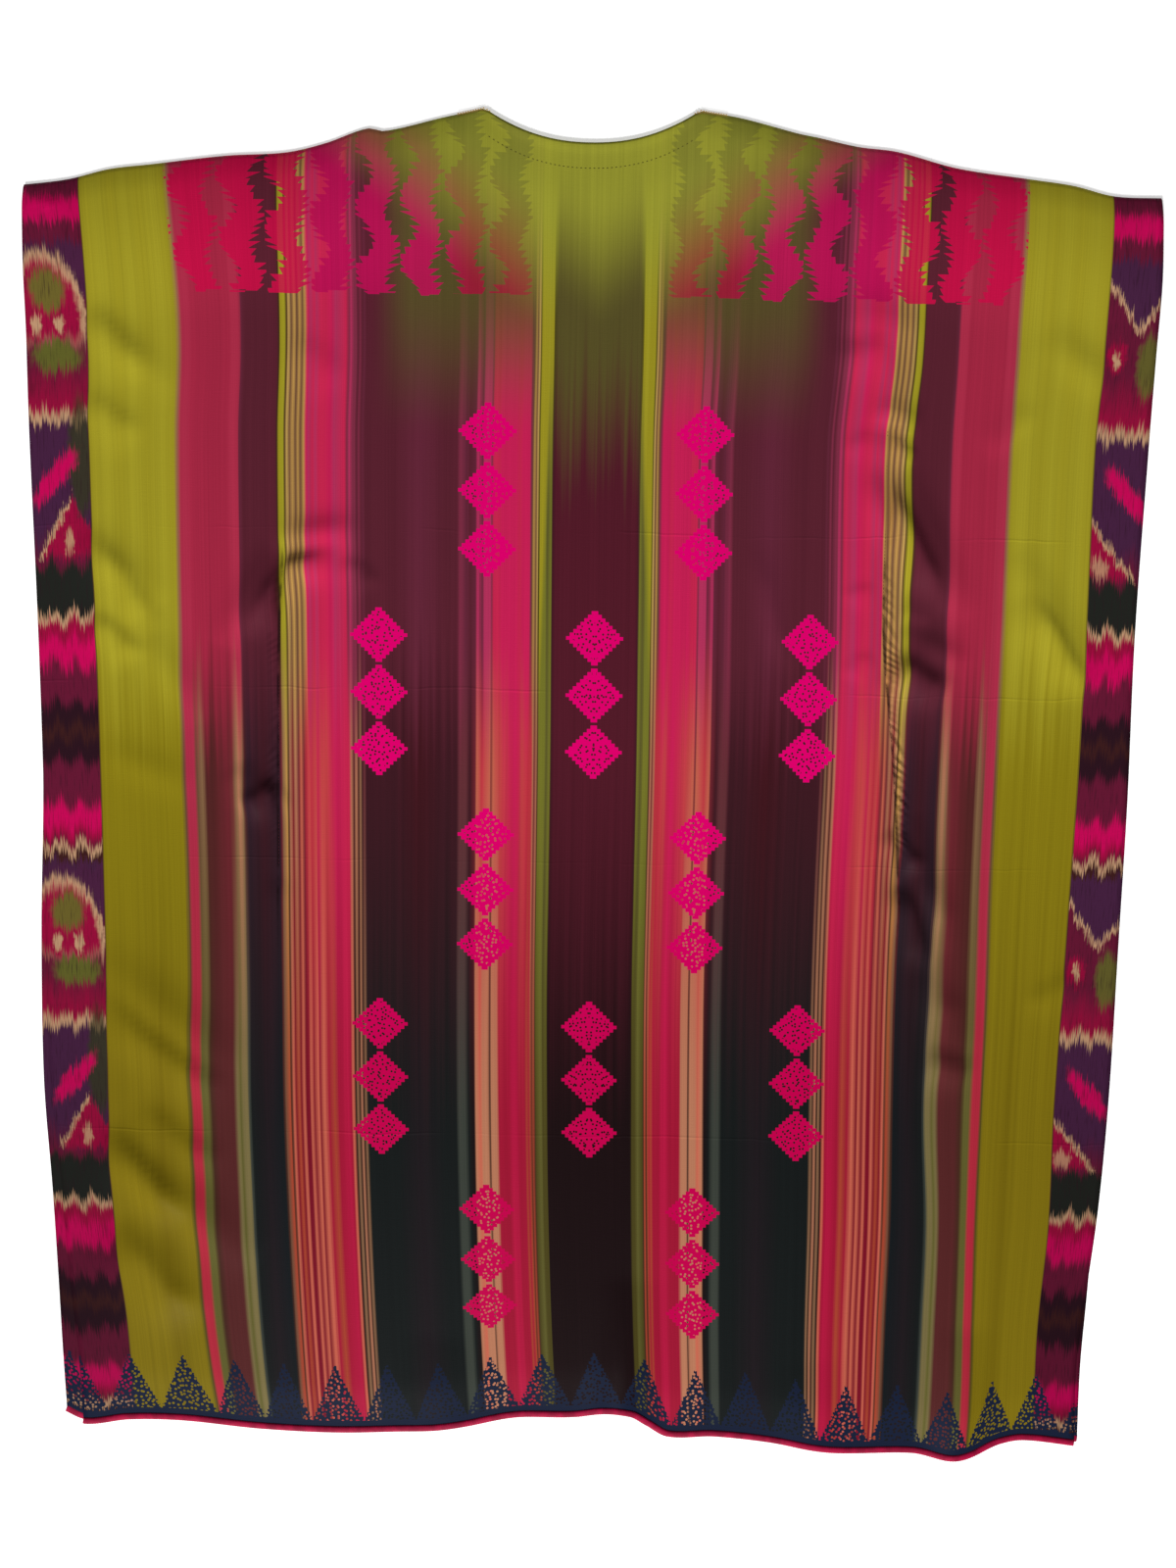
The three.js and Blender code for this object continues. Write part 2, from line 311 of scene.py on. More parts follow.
# Sharper creases, which the thin silk shows and the CAD's wall is too coarse for. The steep side is on the
# left of a walk from the first point to the last: points, half width on the left, on the right, height
CREASES = [
    (((-337, 178), (-327, 199), (-310, 227), (-290, 252), (-267, 258), (-238, 268)), 11, 18, 9.6),
    (((-308, 192), (-305, 150), (-303, 108)), 3, 9, 1.8),
    (((-308, 80), (-304, 48)), 3, 8, 1.0),
    (((-350, 10), (-325, 20), (-302, 37)), 11, 18, 8.0),
    (((287, 393), (305, 380), (327, 364)), 5, 13, 4.6),
    (((284, 359), (308, 312), (341, 251), (358, 213)), 12, 18, 12.5),
    (((306, 173), (336, 152), (368, 132)), 17, 22, 12),
    (((353, 212), (332, 216), (311, 222)), 10, 14, 2.5),
    (((315, 3), (333, -27), (352, -42)), 8, 16, 6.0),
    (((328, -52), (342, -98), (359, -150)), 9, 16, 7.6),
    (((380, -108), (362, -76), (347, -45)), 8, 14, 2.2),
    (((357, -239), (386, -247), (415, -259)), 11, 20, 6.4),
    (((405, -190), (384, -186), (362, -186)), 10, 14, 1.6),
    (((436, 244), (471, 192), (506, 135)), 8, 26, 5.6),
    (((-498, 286), (-460, 243), (-424, 182)), 9, 24, 5.0),
    (((-494, 206), (-466, 182), (-440, 156)), 8, 20, 3.6),
    (((-486, 502), (-456, 462), (-426, 432)), 10, 22, 3.4),
    (((-494, 418), (-463, 392), (-433, 374)), 10, 22, 3.2),
    (((-500, -180), (-453, -230), (-396, -273), (-350, -292)), 11, 28, 6.2),
    (((-460, -304), (-403, -352), (-362, -368)), 11, 24, 3.8),
    (((-494, -330), (-441, -389), (-402, -430)), 11, 28, 6.4),
    (((-490, -432), (-433, -505), (-386, -542)), 14, 34, 7.0),
    (((440, 421), (416, 396), (390, 368)), 8, 18, 2.0),
    (((458, -184), (490, -166), (524, -147)), 9, 20, 2.4),
    (((174, 280), (186, 222), (205, 156)), 5, 12, 2.0),
    (((-532, 600), (-520, 592), (-506, 588)), 3, 7, 1.6),
    (((-538, 584), (-524, 575), (-510, 571)), 3, 7, 1.4),
    (((-243, 262), (-222, 250), (-205, 232)), 6, 16, 2.4),
    (((250, 372), (268, 384), (288, 390)), 5, 14, 2.0),
    (((262, 150), (276, 168), (292, 176)), 6, 14, 1.4),
    (((258, 228), (274, 238), (290, 240)), 6, 14, 1.4),
    (((232, 462), (264, 467), (300, 476)), 10, 22, 4.0),
    (((-300, 470), (-262, 452), (-236, 424)), 12, 26, 2.2),
]
CREASE_FADE = 0.35

# A stitched seam in silk always puckers a little: side of the garment, lowest place, highest place, height
PUCKERS = [(-1, 20, 230, 1.2), (1, -30, 300, 3.4)]
PUCKER_PITCH = 9.5
PUCKER_SLANT = 0.9
# They begin at the thread and fade out beside it, and they grow and fade within this much of their ends
PUCKER_BESIDE = {"begin": (-1, 3), "reach": 4, "fade": 10}
PUCKER_ENDS = {"low": (-15, 25), "high": (-70, 0)}
# Their places and their reach wander in two slow waves: how far, period
PUCKER_WANDER = [(6, 145), (3, 57)]
print("folds:", len(FOLDS), "creases:", len(CREASES))

# %% Height of the upper layer
LOFT = 2.4
LOFT_FADE = 55
SEAM_CHANNEL = 13
seam_lines = [smooth_curve(rows, 0, 1) for rows in BODY_SEAMS]


def crest_heights(crests, x, y):
    """Soft crests along straight lines, highest in the middle."""
    total = np.zeros_like(x)
    for x0, y0, x1, y1, half_width, height in crests:
        along_x, along_y = x1 - x0, y1 - y0
        length = math.hypot(along_x, along_y)
        share = ((x - x0) * along_x + (y - y0) * along_y) / length**2
        aside = ((x - x0) * along_y - (y - y0) * along_x) / length
        inside = (share > 0) & (share < 1)
        crest = height * np.sin(np.pi * np.clip(share, 0, 1)) * np.exp(-((aside / half_width) ** 2))
        total += np.where(inside, crest, 0)
    return total


def crease_heights(creases, x, y):
    """Crests along bent lines, each steep on one side and gentle on the other."""
    total = np.zeros_like(x)
    for points, steep, gentle, height in creases:
        nearest = np.full_like(x, np.inf)
        aside, along, run = np.zeros_like(x), np.zeros_like(x), 0.0
        for (x0, y0), (x1, y1) in zip(points[:-1], points[1:]):
            step_x, step_y = x1 - x0, y1 - y0
            length = math.hypot(step_x, step_y)
            share = np.clip(((x - x0) * step_x + (y - y0) * step_y) / length**2, 0, 1)
            off_x, off_y = x - x0 - share * step_x, y - y0 - share * step_y
            distance = np.hypot(off_x, off_y)
            closer = distance < nearest
            on_left = off_y * step_x > off_x * step_y
            aside = np.where(closer, np.where(on_left, distance / steep, distance / gentle), aside)
            along = np.where(closer, run + share * length, along)
            nearest = np.minimum(nearest, distance)
            run += length
        end = CREASE_FADE * run
        fade = smooth_step(along, 0, end) * smooth_step(run - along, 0, end)
        total += height * fade * np.exp(-(aside**2))
    return total


def pucker_heights(x, y):
    """Short slanting ridges outside the seams, where the thread has gathered the silk."""
    total = np.zeros_like(x)
    for line, (side, low, high, height) in zip(seam_lines, PUCKERS):
        from_seam = (x - line(y)) * side
        wander = sum(far * np.sin(y / period * 2 * np.pi) for far, period in PUCKER_WANDER)
        ridge = 0.5 + 0.5 * np.cos((y + from_seam * PUCKER_SLANT + wander) * 2 * np.pi / PUCKER_PITCH)
        reach = PUCKER_BESIDE["reach"] + wander / 3
        fade = smooth_step(from_seam, reach, reach + PUCKER_BESIDE["fade"])
        beside = smooth_step(from_seam, *PUCKER_BESIDE["begin"]) * (1 - fade)
        run = smooth_step(y - low, *PUCKER_ENDS["low"]) * (1 - smooth_step(y - high, *PUCKER_ENDS["high"]))
        uneven = 0.6 + 0.4 * np.sin(y / 29 + 1) * np.sin(y / 17)
        total += height * ridge * beside * run * uneven
    return total


def seam_freedom(x, y, channel):
    """0 on a stitched seam and 1 away from both seams."""
    free = np.ones_like(x)
    for rows, line in zip(BODY_SEAMS, seam_lines):
        past = np.maximum(np.maximum(rows[0][0] - y, y - rows[-1][0]), 0)
        free *= 1 - np.exp(-(((x - line(y)) / channel) ** 2) - (past / channel) ** 2)
    return free


def back_side_inset(x, y):
    """How far inside the back's nearer side edge a point lies."""
    return np.minimum(x + BACK["left"](y), BACK["right"](y) - x)


def back_underside(x, y):
    """The height of the CAD's upper layer, from below: loft, the largest folds and the pull of the seams."""
    inset = np.minimum(back_side_inset(x, y), np.minimum(BACK["upper"](x) - y, y - BACK["lower"](x)))
    loose = LOFT * smooth_step(inset, 0, LOFT_FADE)
    return WALL + SEAM_GAP + (loose + crest_heights(FOLDS, x, y)) * seam_freedom(x, y, SEAM_CHANNEL)


print("height over the floor at the middle:", round(float(back_underside(np.zeros(1), np.zeros(1))[0]), 2))

# %% [markdown]
# ## The print's own coordinates
#
# The pattern was printed on flat cloth, and then the cloth was folded, pulled and laid down. So every
# corner of the mesh gets the place it had on the flat cloth, as its UV. The drift table says how far each
# printed line lies from its flat place, and the height is measured from the hem near the hem.

# %% Where each point was on the flat cloth
PRINT_CENTRE = 10
PRINTED_LINES = (-494, -408, -311, 0, 311, 356, 408, 494)
# height, then how far each printed line lies to the right of its flat place
DRIFT = [
    (-650, 14, 22, 14, 19, 10, 12, 6, -4),
    (-540, 8, 9, 8, 12, 9, 12, 6, -7),
    (-420, -3, 3, 3, 7, 9, 11, 3, -2),
    (-300, -5, 0, 0, 4, 6, 2, 2, -4),
    (-180, -3, 2, 0, 2, 3, 1, 1, -3),
    (-60, -3, 2, 0, 2, 2, 1, -2, -2),
    (60, -3, 0, 0, 2, 3, 0, -3, -1),
    (200, -4, -1, 0, 1, 1, 0, -4, -2),
    (380, -5, 0, 0, 0, -4, -3, -6, -5),
    (460, -3, 4, 3, 0, 2, -2, -4, -2),
    (550, -4, 1, 3, 0, 2, -2, -4, -2),
    (640, -11, -7, 3, 0, 2, -2, -4, -2),
]
HEM_HEIGHT = -664
HEM_REACH = (-640, -430)
UV_SPAN = 1500
drift_curves = [smooth_curve(DRIFT, 0, i + 1) for i in range(len(PRINTED_LINES))]


def place_on_flat_cloth(x, y, drifts):
    """Where a point was when the cloth was printed. The drift is looked up there, so it takes some rounds."""
    printed = x - PRINT_CENTRE
    if drifts:
        shifts = np.array([curve(y) for curve in drift_curves])
        rows = np.arange(len(x))
        for _ in range(3):
            i = np.clip(np.searchsorted(PRINTED_LINES, printed) - 1, 0, len(PRINTED_LINES) - 2)
            low, high = np.take(PRINTED_LINES, i), np.take(PRINTED_LINES, i + 1)
            share = np.clip((printed - low) / (high - low), 0, 1)
            shift = shifts[i, rows] * (1 - share) + shifts[i + 1, rows] * share
            printed = x - PRINT_CENTRE - shift
    near_hem = 1 - smooth_step(y, *HEM_REACH)
    return printed, y + (HEM_HEIGHT - lower_edge(x)) * near_hem


def place_by_seam(x, y):
    """How far outside its body seam a point lies, and its height."""
    return np.where(x > 0, x - seam_lines[1](y), seam_lines[0](y) - x), y


print("printed lines that drift:", len(PRINTED_LINES))

# %% [markdown]
# ## Making a layer
#
# A grid is added, every corner is moved to its place, and a Solidify modifier gives the cloth its
# thickness. The grid's columns stand closer together near the seams, where the wrinkles are small.

# %% Columns and rows that crowd where creases are small
def crowded(low, high, count, crowds):
    """Places from low to high. Each crowd is a centre, a half width and how much closer they stand."""
    fine = np.linspace(low, high, 4000)
    weight = np.ones_like(fine)
    for centre, half_width, times in crowds:
        weight += (times - 1) * np.exp(-(((fine - centre) / half_width) ** 4))
    total = np.concatenate([[0], np.cumsum((weight[1:] + weight[:-1]) / 2)])
    return np.interp(np.linspace(0, total[-1], count), total, fine)


back_columns = crowded(-WING_TIP["left"], WING_TIP["right"], 205, [(-312, 30, 2.4), (324, 30, 3.4)])
back_rows = crowded(0, 1, 236, [(0, 0.012, 3), (0.6, 0.13, 2.6), (0.79, 0.04, 1.2), (1, 0.02, 3)])
gaps = np.diff(back_columns)
print("columns from", round(gaps.min(), 2), "to", round(gaps.max(), 2), "mm apart")

# %% A grid whose corners can be moved
def new_piece_from_grid(name, x_parts, y_parts):
    bpy.ops.object.select_all(action="DESELECT")
    bpy.ops.mesh.primitive_grid_add(x_subdivisions=x_parts, y_subdivisions=y_parts, size=2)
    piece = bpy.context.object
    piece.name = piece.data.name = name
    return piece


def grid_numbers(piece, x_parts, y_parts):
    """The column's and the row's number of every corner. A new grid reaches from -1 to 1 both ways."""
    flat = np.empty(len(piece.data.vertices) * 3)
    piece.data.vertices.foreach_get("co", flat)
    shares = (flat.reshape(-1, 3) + 1) / 2
    return np.rint(shares[:, 0] * x_parts).astype(int), np.rint(shares[:, 1] * y_parts).astype(int)


def move_corners(piece, x, y, z):
    places = np.stack([x, y, z], axis=1) * MM
    piece.data.vertices.foreach_set("co", places.ravel())
    piece.data.update()


def add_maps(mesh, maps):
    """Writes pairs of millimetres for every corner into UV maps, with the garment's middle at 0.5."""
    corner = np.empty(len(mesh.loops), int)
    mesh.loops.foreach_get("vertex_index", corner)
    mesh.uv_layers.remove(mesh.uv_layers[0])
    for name, (u, v) in maps.items():
        uv = np.stack([u[corner], v[corner]], axis=1) / UV_SPAN + 0.5
        mesh.uv_layers.new(name=name).data.foreach_set("uv", uv.ravel())


print("a UV map spans", UV_SPAN, "mm")

# %% Cloth from a grid
CLOTH_THICKNESS = 0.7


def make_cloth(name, layer, columns, shares_up, height_at, drifts):
    piece = new_piece_from_grid(name, len(columns) - 1, len(shares_up) - 1)
    i, j = grid_numbers(piece, len(columns) - 1, len(shares_up) - 1)
    x, y = point_on_layer(layer, columns[i], shares_up[j])
    move_corners(piece, x, y, height_at(x, y))
    add_maps(piece.data, {"flat_cloth": place_on_flat_cloth(x, y, drifts), "by_seam": place_by_seam(x, y)})
    wall = piece.modifiers.new("wall", "SOLIDIFY")
    wall.thickness = CLOTH_THICKNESS * MM
    wall.offset = -1
    bpy.ops.object.modifier_apply(modifier=wall.name)
    bpy.ops.object.shade_smooth()
    print(name, "has", len(piece.data.polygons), "faces")
    return piece


# %% [markdown]
# The back is the layer that shows. Near the shoulders it curves down, and its edge rolls over to the
# front's, because they are sewn there. Its neck edge is a little thicker, because the cloth is turned
# under along it.

# %% Edges of the back
BACK_LIFT = 1.0
SEAM_GROOVE = {"crease_free": 3.5, "half_width": 2.2, "depth": 0.25}
# The cloth swells behind the shoulder's edge, outside the neck, and rolls down over the edge itself
SHOULDER_RISE = {"height": 4.4, "from_edge": 28, "fade": (60, 150), "out": (60, 150)}
SHOULDER_ROLL = {"drop": 0.9, "width": 2.2, "out": (98, 112)}
# Edges that are turned under are thicker: how much, how far in from the edge
NECK_TURN = {"thicker": 0.35, "inset": 4, "out": (96, 106)}
SIDE_TURN = {"thicker": 0.3, "inset": 1.5}


def turned_under(to_edge, turn):
    return turn["thicker"] * np.exp(-(((to_edge - turn["inset"]) / turn["inset"]) ** 2))


def shoulder_shape(to_shoulder, out):
    rise = 1 - np.clip(1 - to_shoulder / SHOULDER_RISE["from_edge"], 0, 1) ** 2
    fall = 1 - smooth_step(to_shoulder, *SHOULDER_RISE["fade"])
    swell = SHOULDER_RISE["height"] * rise * fall * smooth_step(out, *SHOULDER_RISE["out"])
    over_edge = np.clip(1 - to_shoulder / SHOULDER_ROLL["width"], 0, 1) ** 2
    return swell - SHOULDER_ROLL["drop"] * over_edge * smooth_step(out, *SHOULDER_ROLL["out"])


def back_top(x, y):
    creased = crease_heights(CREASES, x, y) * seam_freedom(x, y, SEAM_GROOVE["crease_free"])
    groove = SEAM_GROOVE["depth"] * (1 - seam_freedom(x, y, SEAM_GROOVE["half_width"]))
    top = back_underside(x, y) + BACK_LIFT + creased + pucker_heights(x, y) - groove
    to_shoulder = BACK["upper"](x) - y
    in_neck = 1 - smooth_step(np.abs(x), *NECK_TURN["out"])
    turned = turned_under(to_shoulder, NECK_TURN) * in_neck + turned_under(back_side_inset(x, y), SIDE_TURN)
    return top + shoulder_shape(to_shoulder, np.abs(x)) + turned


print("the back's top stands", BACK_LIFT, "mm above the CAD layer's underside")

# %% The back of the kaftan
back_cloth = make_cloth("back_cloth", BACK, back_columns, back_rows, back_top, drifts=True)

# %% The front of the kaftan, under the back
front_columns = crowded(-WING_TIP["left"], WING_TIP["right"], 111, [(-540, 14, 3), (543, 14, 3)])
front_rows = crowded(0, 1, 121, [(0, 0.012, 3), (1, 0.012, 3)])
FRONT_LIFT = 0.15


def front_top(x, y):
    return np.full_like(x, FRONT_LIFT + CLOTH_THICKNESS)


front_cloth = make_cloth("front_cloth", FRONT, front_columns, front_rows, front_top, drifts=False)

# %% [markdown]
# ## The rolled hems
#
# Each lower edge is rolled over on itself and bound with close magenta thread, which laps over the cloth.
# A bevelled curve would do for a plain cord, but this roll follows the cloth's edge and shows the wraps of
# its thread, so a grid is wrapped round the edge as a tube, and its radius swells along a slow spiral.

# %% A rolled edge from a wrapped grid
ROLL_SIDES = 12
ROLL_RINGS = 1500
WRAP_PITCH = 2.6
WRAP_SWELL = 0.06
ROLL_OVERLAP = 2.6
ROLL_WIDTH = 7.7
BACK_ROLL_HEIGHT = 2.3
FRONT_ROLL_HEIGHT = 1.3
WELD = 0.01


def edge_directions(x, y):
    """Outward directions along the hem's edge, and the distance run along it."""
    step_x, step_y = np.gradient(x), np.gradient(y)
    length = np.hypot(step_x, step_y)
    return step_y / length, -step_x / length, np.cumsum(length)


def make_roll(name, layer, floor_at, height):
    roll = new_piece_from_grid(name, ROLL_RINGS, ROLL_SIDES)
    i, j = grid_numbers(roll, ROLL_RINGS, ROLL_SIDES)
    turn = j / ROLL_SIDES * 2 * np.pi
    columns = np.linspace(-WING_TIP["left"], WING_TIP["right"], ROLL_RINGS + 1)
    x, y = point_on_layer(layer, columns, np.zeros_like(columns))
    out_x, out_y, along = edge_directions(x, y)
    swell = 1 - WRAP_SWELL + WRAP_SWELL * np.cos(along[i] / WRAP_PITCH * 2 * np.pi + turn)
    out = ROLL_WIDTH / 2 * (1 + np.cos(turn) * swell) - ROLL_OVERLAP
    up = height / 2 * (1 + np.sin(turn) * swell)
    move_corners(roll, x[i] + out_x[i] * out, y[i] + out_y[i] * out, floor_at(x, y)[i] + up)
    close_tube()
    return roll


def close_tube():
    """Joins the new grid's two long edges, caps its ends and turns its faces outwards."""
    bpy.ops.object.mode_set(mode="EDIT")
    bpy.ops.mesh.select_all(action="SELECT")
    bpy.ops.mesh.remove_doubles(threshold=WELD * MM)
    bpy.ops.mesh.select_all(action="DESELECT")
    bpy.ops.mesh.select_mode(type="EDGE")
    bpy.ops.mesh.select_non_manifold()
    bpy.ops.mesh.edge_face_add()
    bpy.ops.mesh.select_all(action="SELECT")
    bpy.ops.mesh.fill_holes(sides=ROLL_SIDES + 2)
    bpy.ops.mesh.normals_make_consistent(inside=False)
    bpy.ops.object.mode_set(mode="OBJECT")
    bpy.ops.object.shade_smooth()


back_hem_roll = make_roll("back_hem_roll", BACK, back_underside, BACK_ROLL_HEIGHT)
front_hem_roll = make_roll("front_hem_roll", FRONT, lambda x, y: np.zeros_like(x), FRONT_ROLL_HEIGHT)
print("faces in a roll:", len(back_hem_roll.data.polygons))

# %% [markdown]
# ## The body seams
#
# Two lines of stitches hold the layers together under the arms. One stitch is modelled as a short bead
# of thread whose ends dip into the cloth. It is then copied along each seam, and the copies are joined,
# because each seam is one thread.

# %% One stitch
STITCH = {"length": 2.5, "thick": 0.5, "dip": 0.35}


def make_stitch():
    bpy.ops.object.select_all(action="DESELECT")
    bpy.ops.mesh.primitive_uv_sphere_add(segments=8, ring_count=8, radius=0.5 * MM)
    stitch = bpy.context.object
    stitch.name = "one_stitch"
    bpy.ops.object.mode_set(mode="EDIT")
    bpy.ops.mesh.select_all(action="SELECT")
    bpy.ops.transform.rotate(value=math.pi / 2, orient_axis="X", center_override=(0, 0, 0))
    stretch = (STITCH["thick"], STITCH["length"], STITCH["thick"])
    bpy.ops.transform.resize(value=stretch, center_override=(0, 0, 0))
    bpy.ops.object.mode_set(mode="OBJECT")
    for vertex in stitch.data.vertices:
        share = abs(vertex.co.y) / (STITCH["length"] / 2 * MM)
        vertex.co.z -= STITCH["dip"] * MM * share**3
    bpy.ops.object.shade_smooth()
    return stitch


one_stitch = make_stitch()
print("faces in a stitch:", len(one_stitch.data.polygons))

# %% Copies of a small piece
def copy_along(model, name, spots):
    """Copies of a small piece, each with its own mesh, moved and turned to a spot and joined into one."""
    copies = []
    for x, y, z, angle in spots:
        copy = model.copy()
        copy.data = model.data.copy()
        copy.data.transform(Matrix.Translation((x * MM, y * MM, z * MM)) @ Matrix.Rotation(angle, 4, "Z"))
        bpy.context.scene.collection.objects.link(copy)
        copies.append(copy)
    bpy.ops.object.select_all(action="DESELECT")
    for copy in copies:
        copy.select_set(True)
    bpy.context.view_layer.objects.active = copies[0]
    bpy.ops.object.join()
    joined = bpy.context.object
    joined.name = joined.data.name = name
    return joined


def top_at(x, y):
    return float(back_top(np.array([x]), np.array([y]))[0])


print("height of the cloth at the middle:", round(top_at(0.0, 0.0), 2), "mm")

# %% Stitches along the seams
SEAM_THREAD = {"pitch": 3.3, "starts_above": 14, "ends_above": 2, "stands_up": 0.12}


def seam_spots(rows, line):
    first, last = rows[0][0] + SEAM_THREAD["starts_above"], rows[-1][0] + SEAM_THREAD["ends_above"]
    spots = []
    for y in np.arange(first, last, SEAM_THREAD["pitch"]):
        x = float(line(y))
        slope = (float(line(y + 1)) - float(line(y - 1))) / 2
        spots.append((x, y, top_at(x, y) + SEAM_THREAD["stands_up"], -math.atan(slope)))
    return spots


left_seam = copy_along(one_stitch, "left_seam_stitches", seam_spots(BODY_SEAMS[0], seam_lines[0]))
right_seam = copy_along(one_stitch, "right_seam_stitches", seam_spots(BODY_SEAMS[1], seam_lines[1]))
print("faces of stitches:", len(left_seam.data.polygons) + len(right_seam.data.polygons))

# %% [markdown]
# ## The neck's facing
#
# A facing inside the neck is held by a row of stitches that follows the edge. The same stitch is turned to
# lie along that curve.

# %% Stitches that hold the neck's facing
FACING = {"below_edge": 24, "half_width": 98, "pitch": 4.2, "stands_up": 0.1}


def facing_spots():
    spots = []
    for x in np.arange(-FACING["half_width"], FACING["half_width"], FACING["pitch"]):
        edge, ahead = BACK["upper"](np.array([x, x + 1]))
        y = float(edge) - FACING["below_edge"]
        angle = math.atan(float(ahead - edge)) - math.pi / 2
        spots.append((float(x), y, top_at(x, y) + FACING["stands_up"], angle))
    return spots


neck_facing = copy_along(one_stitch, "neck_facing_stitches", facing_spots())
print("faces of facing stitches:", len(neck_facing.data.polygons))

# %% [markdown]
# ## The neck's corners
#
# At each neck corner the shoulder seam ends in a few golden overlock loops that stand out past the edge,
# like a picot. One loop is a small torus drawn out long, and it is copied along the edge.

# %% Golden loops at the neck corners
LOOP = {"long": 4.6, "wide": 1.9, "thick": 0.42}
LOOP_ROW = {"count": 13, "pitch": 2.4, "start": -4.2, "below_edge": 1.4, "height": 2.5}


def make_loop():
    bpy.ops.object.select_all(action="DESELECT")
    ring = (LOOP["wide"] - LOOP["thick"]) / 2 * MM
    bpy.ops.mesh.primitive_torus_add(
        major_segments=14, minor_segments=6, major_radius=ring, minor_radius=LOOP["thick"] / 2 * MM
    )
    loop = bpy.context.object
    loop.name = "one_loop"
    bpy.ops.object.mode_set(mode="EDIT")
    bpy.ops.mesh.select_all(action="SELECT")
    bpy.ops.transform.resize(value=(1, LOOP["long"] / LOOP["wide"], 1), center_override=(0, 0, 0))
    bpy.ops.object.mode_set(mode="OBJECT")
    bpy.ops.object.shade_smooth()
    return loop


def loop_spots(side):
    spots = []
    for i in range(LOOP_ROW["count"]):
        x = side * (NECK_HALF_WIDTH + LOOP_ROW["start"] + i * LOOP_ROW["pitch"])
        before, edge, ahead = BACK["upper"](np.array([x - 1, x, x + 1]))
        slope = float(ahead - before) / 2
        spots.append((x, float(edge) - LOOP_ROW["below_edge"], LOOP_ROW["height"], math.atan(slope)))
    return spots


one_loop = make_loop()
neck_loops = copy_along(one_loop, "neck_corner_loops", loop_spots(-1) + loop_spots(1))
for model in (one_stitch, one_loop):
    bpy.data.objects.remove(model)
print("faces of loops:", len(neck_loops.data.polygons))

# %% [markdown]
# ## A small language for shaders
#
# A printed cloth needs a lot of arithmetic on its coordinates. Wiring each Math node by hand hides the
# idea, so one class wraps a node's output and adds the nodes for +, -, * and /, and one method makes
# every other node.

# %% Sockets that can be reckoned with
class Signal:
    """An output of a node, which takes part in arithmetic by adding Math nodes."""

    def __init__(self, finish, socket):
        self.finish, self.socket = finish, socket

    def maths(self, operation, *values):
        return self.finish.node("ShaderNodeMath", {"operation": operation}, dict(enumerate(values)))

    def __add__(self, other):
        return self.maths("ADD", self, other)

    __radd__ = __add__

    def __sub__(self, other):
        return self.maths("SUBTRACT", self, other)

    def __rsub__(self, other):
        return self.maths("SUBTRACT", other, self)

    def __mul__(self, other):
        return self.maths("MULTIPLY", self, other)

    __rmul__ = __mul__

    def __truediv__(self, other):
        return self.maths("DIVIDE", self, other)

    def __gt__(self, other):
        return self.maths("GREATER_THAN", self, other)

    def __lt__(self, other):
        return self.maths("LESS_THAN", self, other)

    def __abs__(self):
        return self.maths("ABSOLUTE", self)

    def whole(self):
        """The whole part, rounded down."""
        return self.maths("FLOOR", self)

    def nearest(self, step):
        """The nearest whole number of steps."""
        return self.maths("ROUND", self / step)

    def root(self):
        return self.maths("SQRT", self)

    def sway(self, period):
        """A sine between -1 and 1 that repeats every period."""
        return self.maths("SINE", self * (2 * math.pi / period))

    def wave(self, period, height):
        """A zigzag between 0 and height that repeats every period."""
        return self.maths("PINGPONG", self, period / 2) * (2 * height / period)

    def ramp_up(self, low, high):
        """0 below low, 1 above high and smooth between."""
        settings = {"interpolation_type": "SMOOTHSTEP"}
        values = {0: self, 1: low, 2: high, 3: 0.0, 4: 1.0}
        return self.finish.node("ShaderNodeMapRange", settings, values)


# %% A finish and its nodes
class Finish:
    """A material whose nodes are added one by one."""

    def __init__(self, name):
        self.material = bpy.data.materials.new(name)
        self.material.use_nodes = True
        self.tree = self.material.node_tree
        self.tree.nodes.clear()

    def node(self, kind, settings=None, values=None, output=0):
        node = self.tree.nodes.new(kind)
        for name, setting in (settings or {}).items():
            if name == "stops":
                self.set_stops(node.color_ramp, setting)
            else:
                setattr(node, name, setting)
        for name, value in (values or {}).items():
            if isinstance(value, Signal):
                self.tree.links.new(value.socket, node.inputs[name])
            else:
                node.inputs[name].default_value = value
        return Signal(self, node.outputs[output]) if node.outputs else node

    def set_stops(self, ramp, stops):
        while len(ramp.elements) > 1:
            ramp.elements.remove(ramp.elements[-1])
        ramp.elements[0].position, ramp.elements[0].color = stops[0]
        for place, colour in stops[1:]:
            ramp.elements.new(place).color = colour

    def mix(self, share, first, second):
        values = {0: share, 6: first, 7: second}
        return self.node("ShaderNodeMix", {"data_type": "RGBA"}, values, output=2)

    def noise(self, x, y, detail=2.0):
        place = self.node("ShaderNodeCombineXYZ", None, {0: x, 1: y})
        values = {"Vector": place, "Scale": 1.0, "Detail": detail}
        return self.node("ShaderNodeTexNoise", {"noise_dimensions": "2D"}, values)

    def finish_surface(self, colour, roughness, normal=None, **constants):
        values = {"Base Color": colour, "Roughness": roughness, **constants}
        if normal is not None:
            values["Normal"] = normal
        surface = self.node("ShaderNodeBsdfPrincipled", None, values)
        self.node("ShaderNodeOutputMaterial", None, {"Surface": surface})
        return self.material


print("operations on a signal:", len([n for n in vars(Signal) if n.startswith("__")]))

# %% [markdown]
# ## The dyes
#
# The print and the threads use a little over sixty dyes. They are written as screen colours, which are
# easy to read and to judge by eye, and turned into the linear values that Blender's sockets expect.

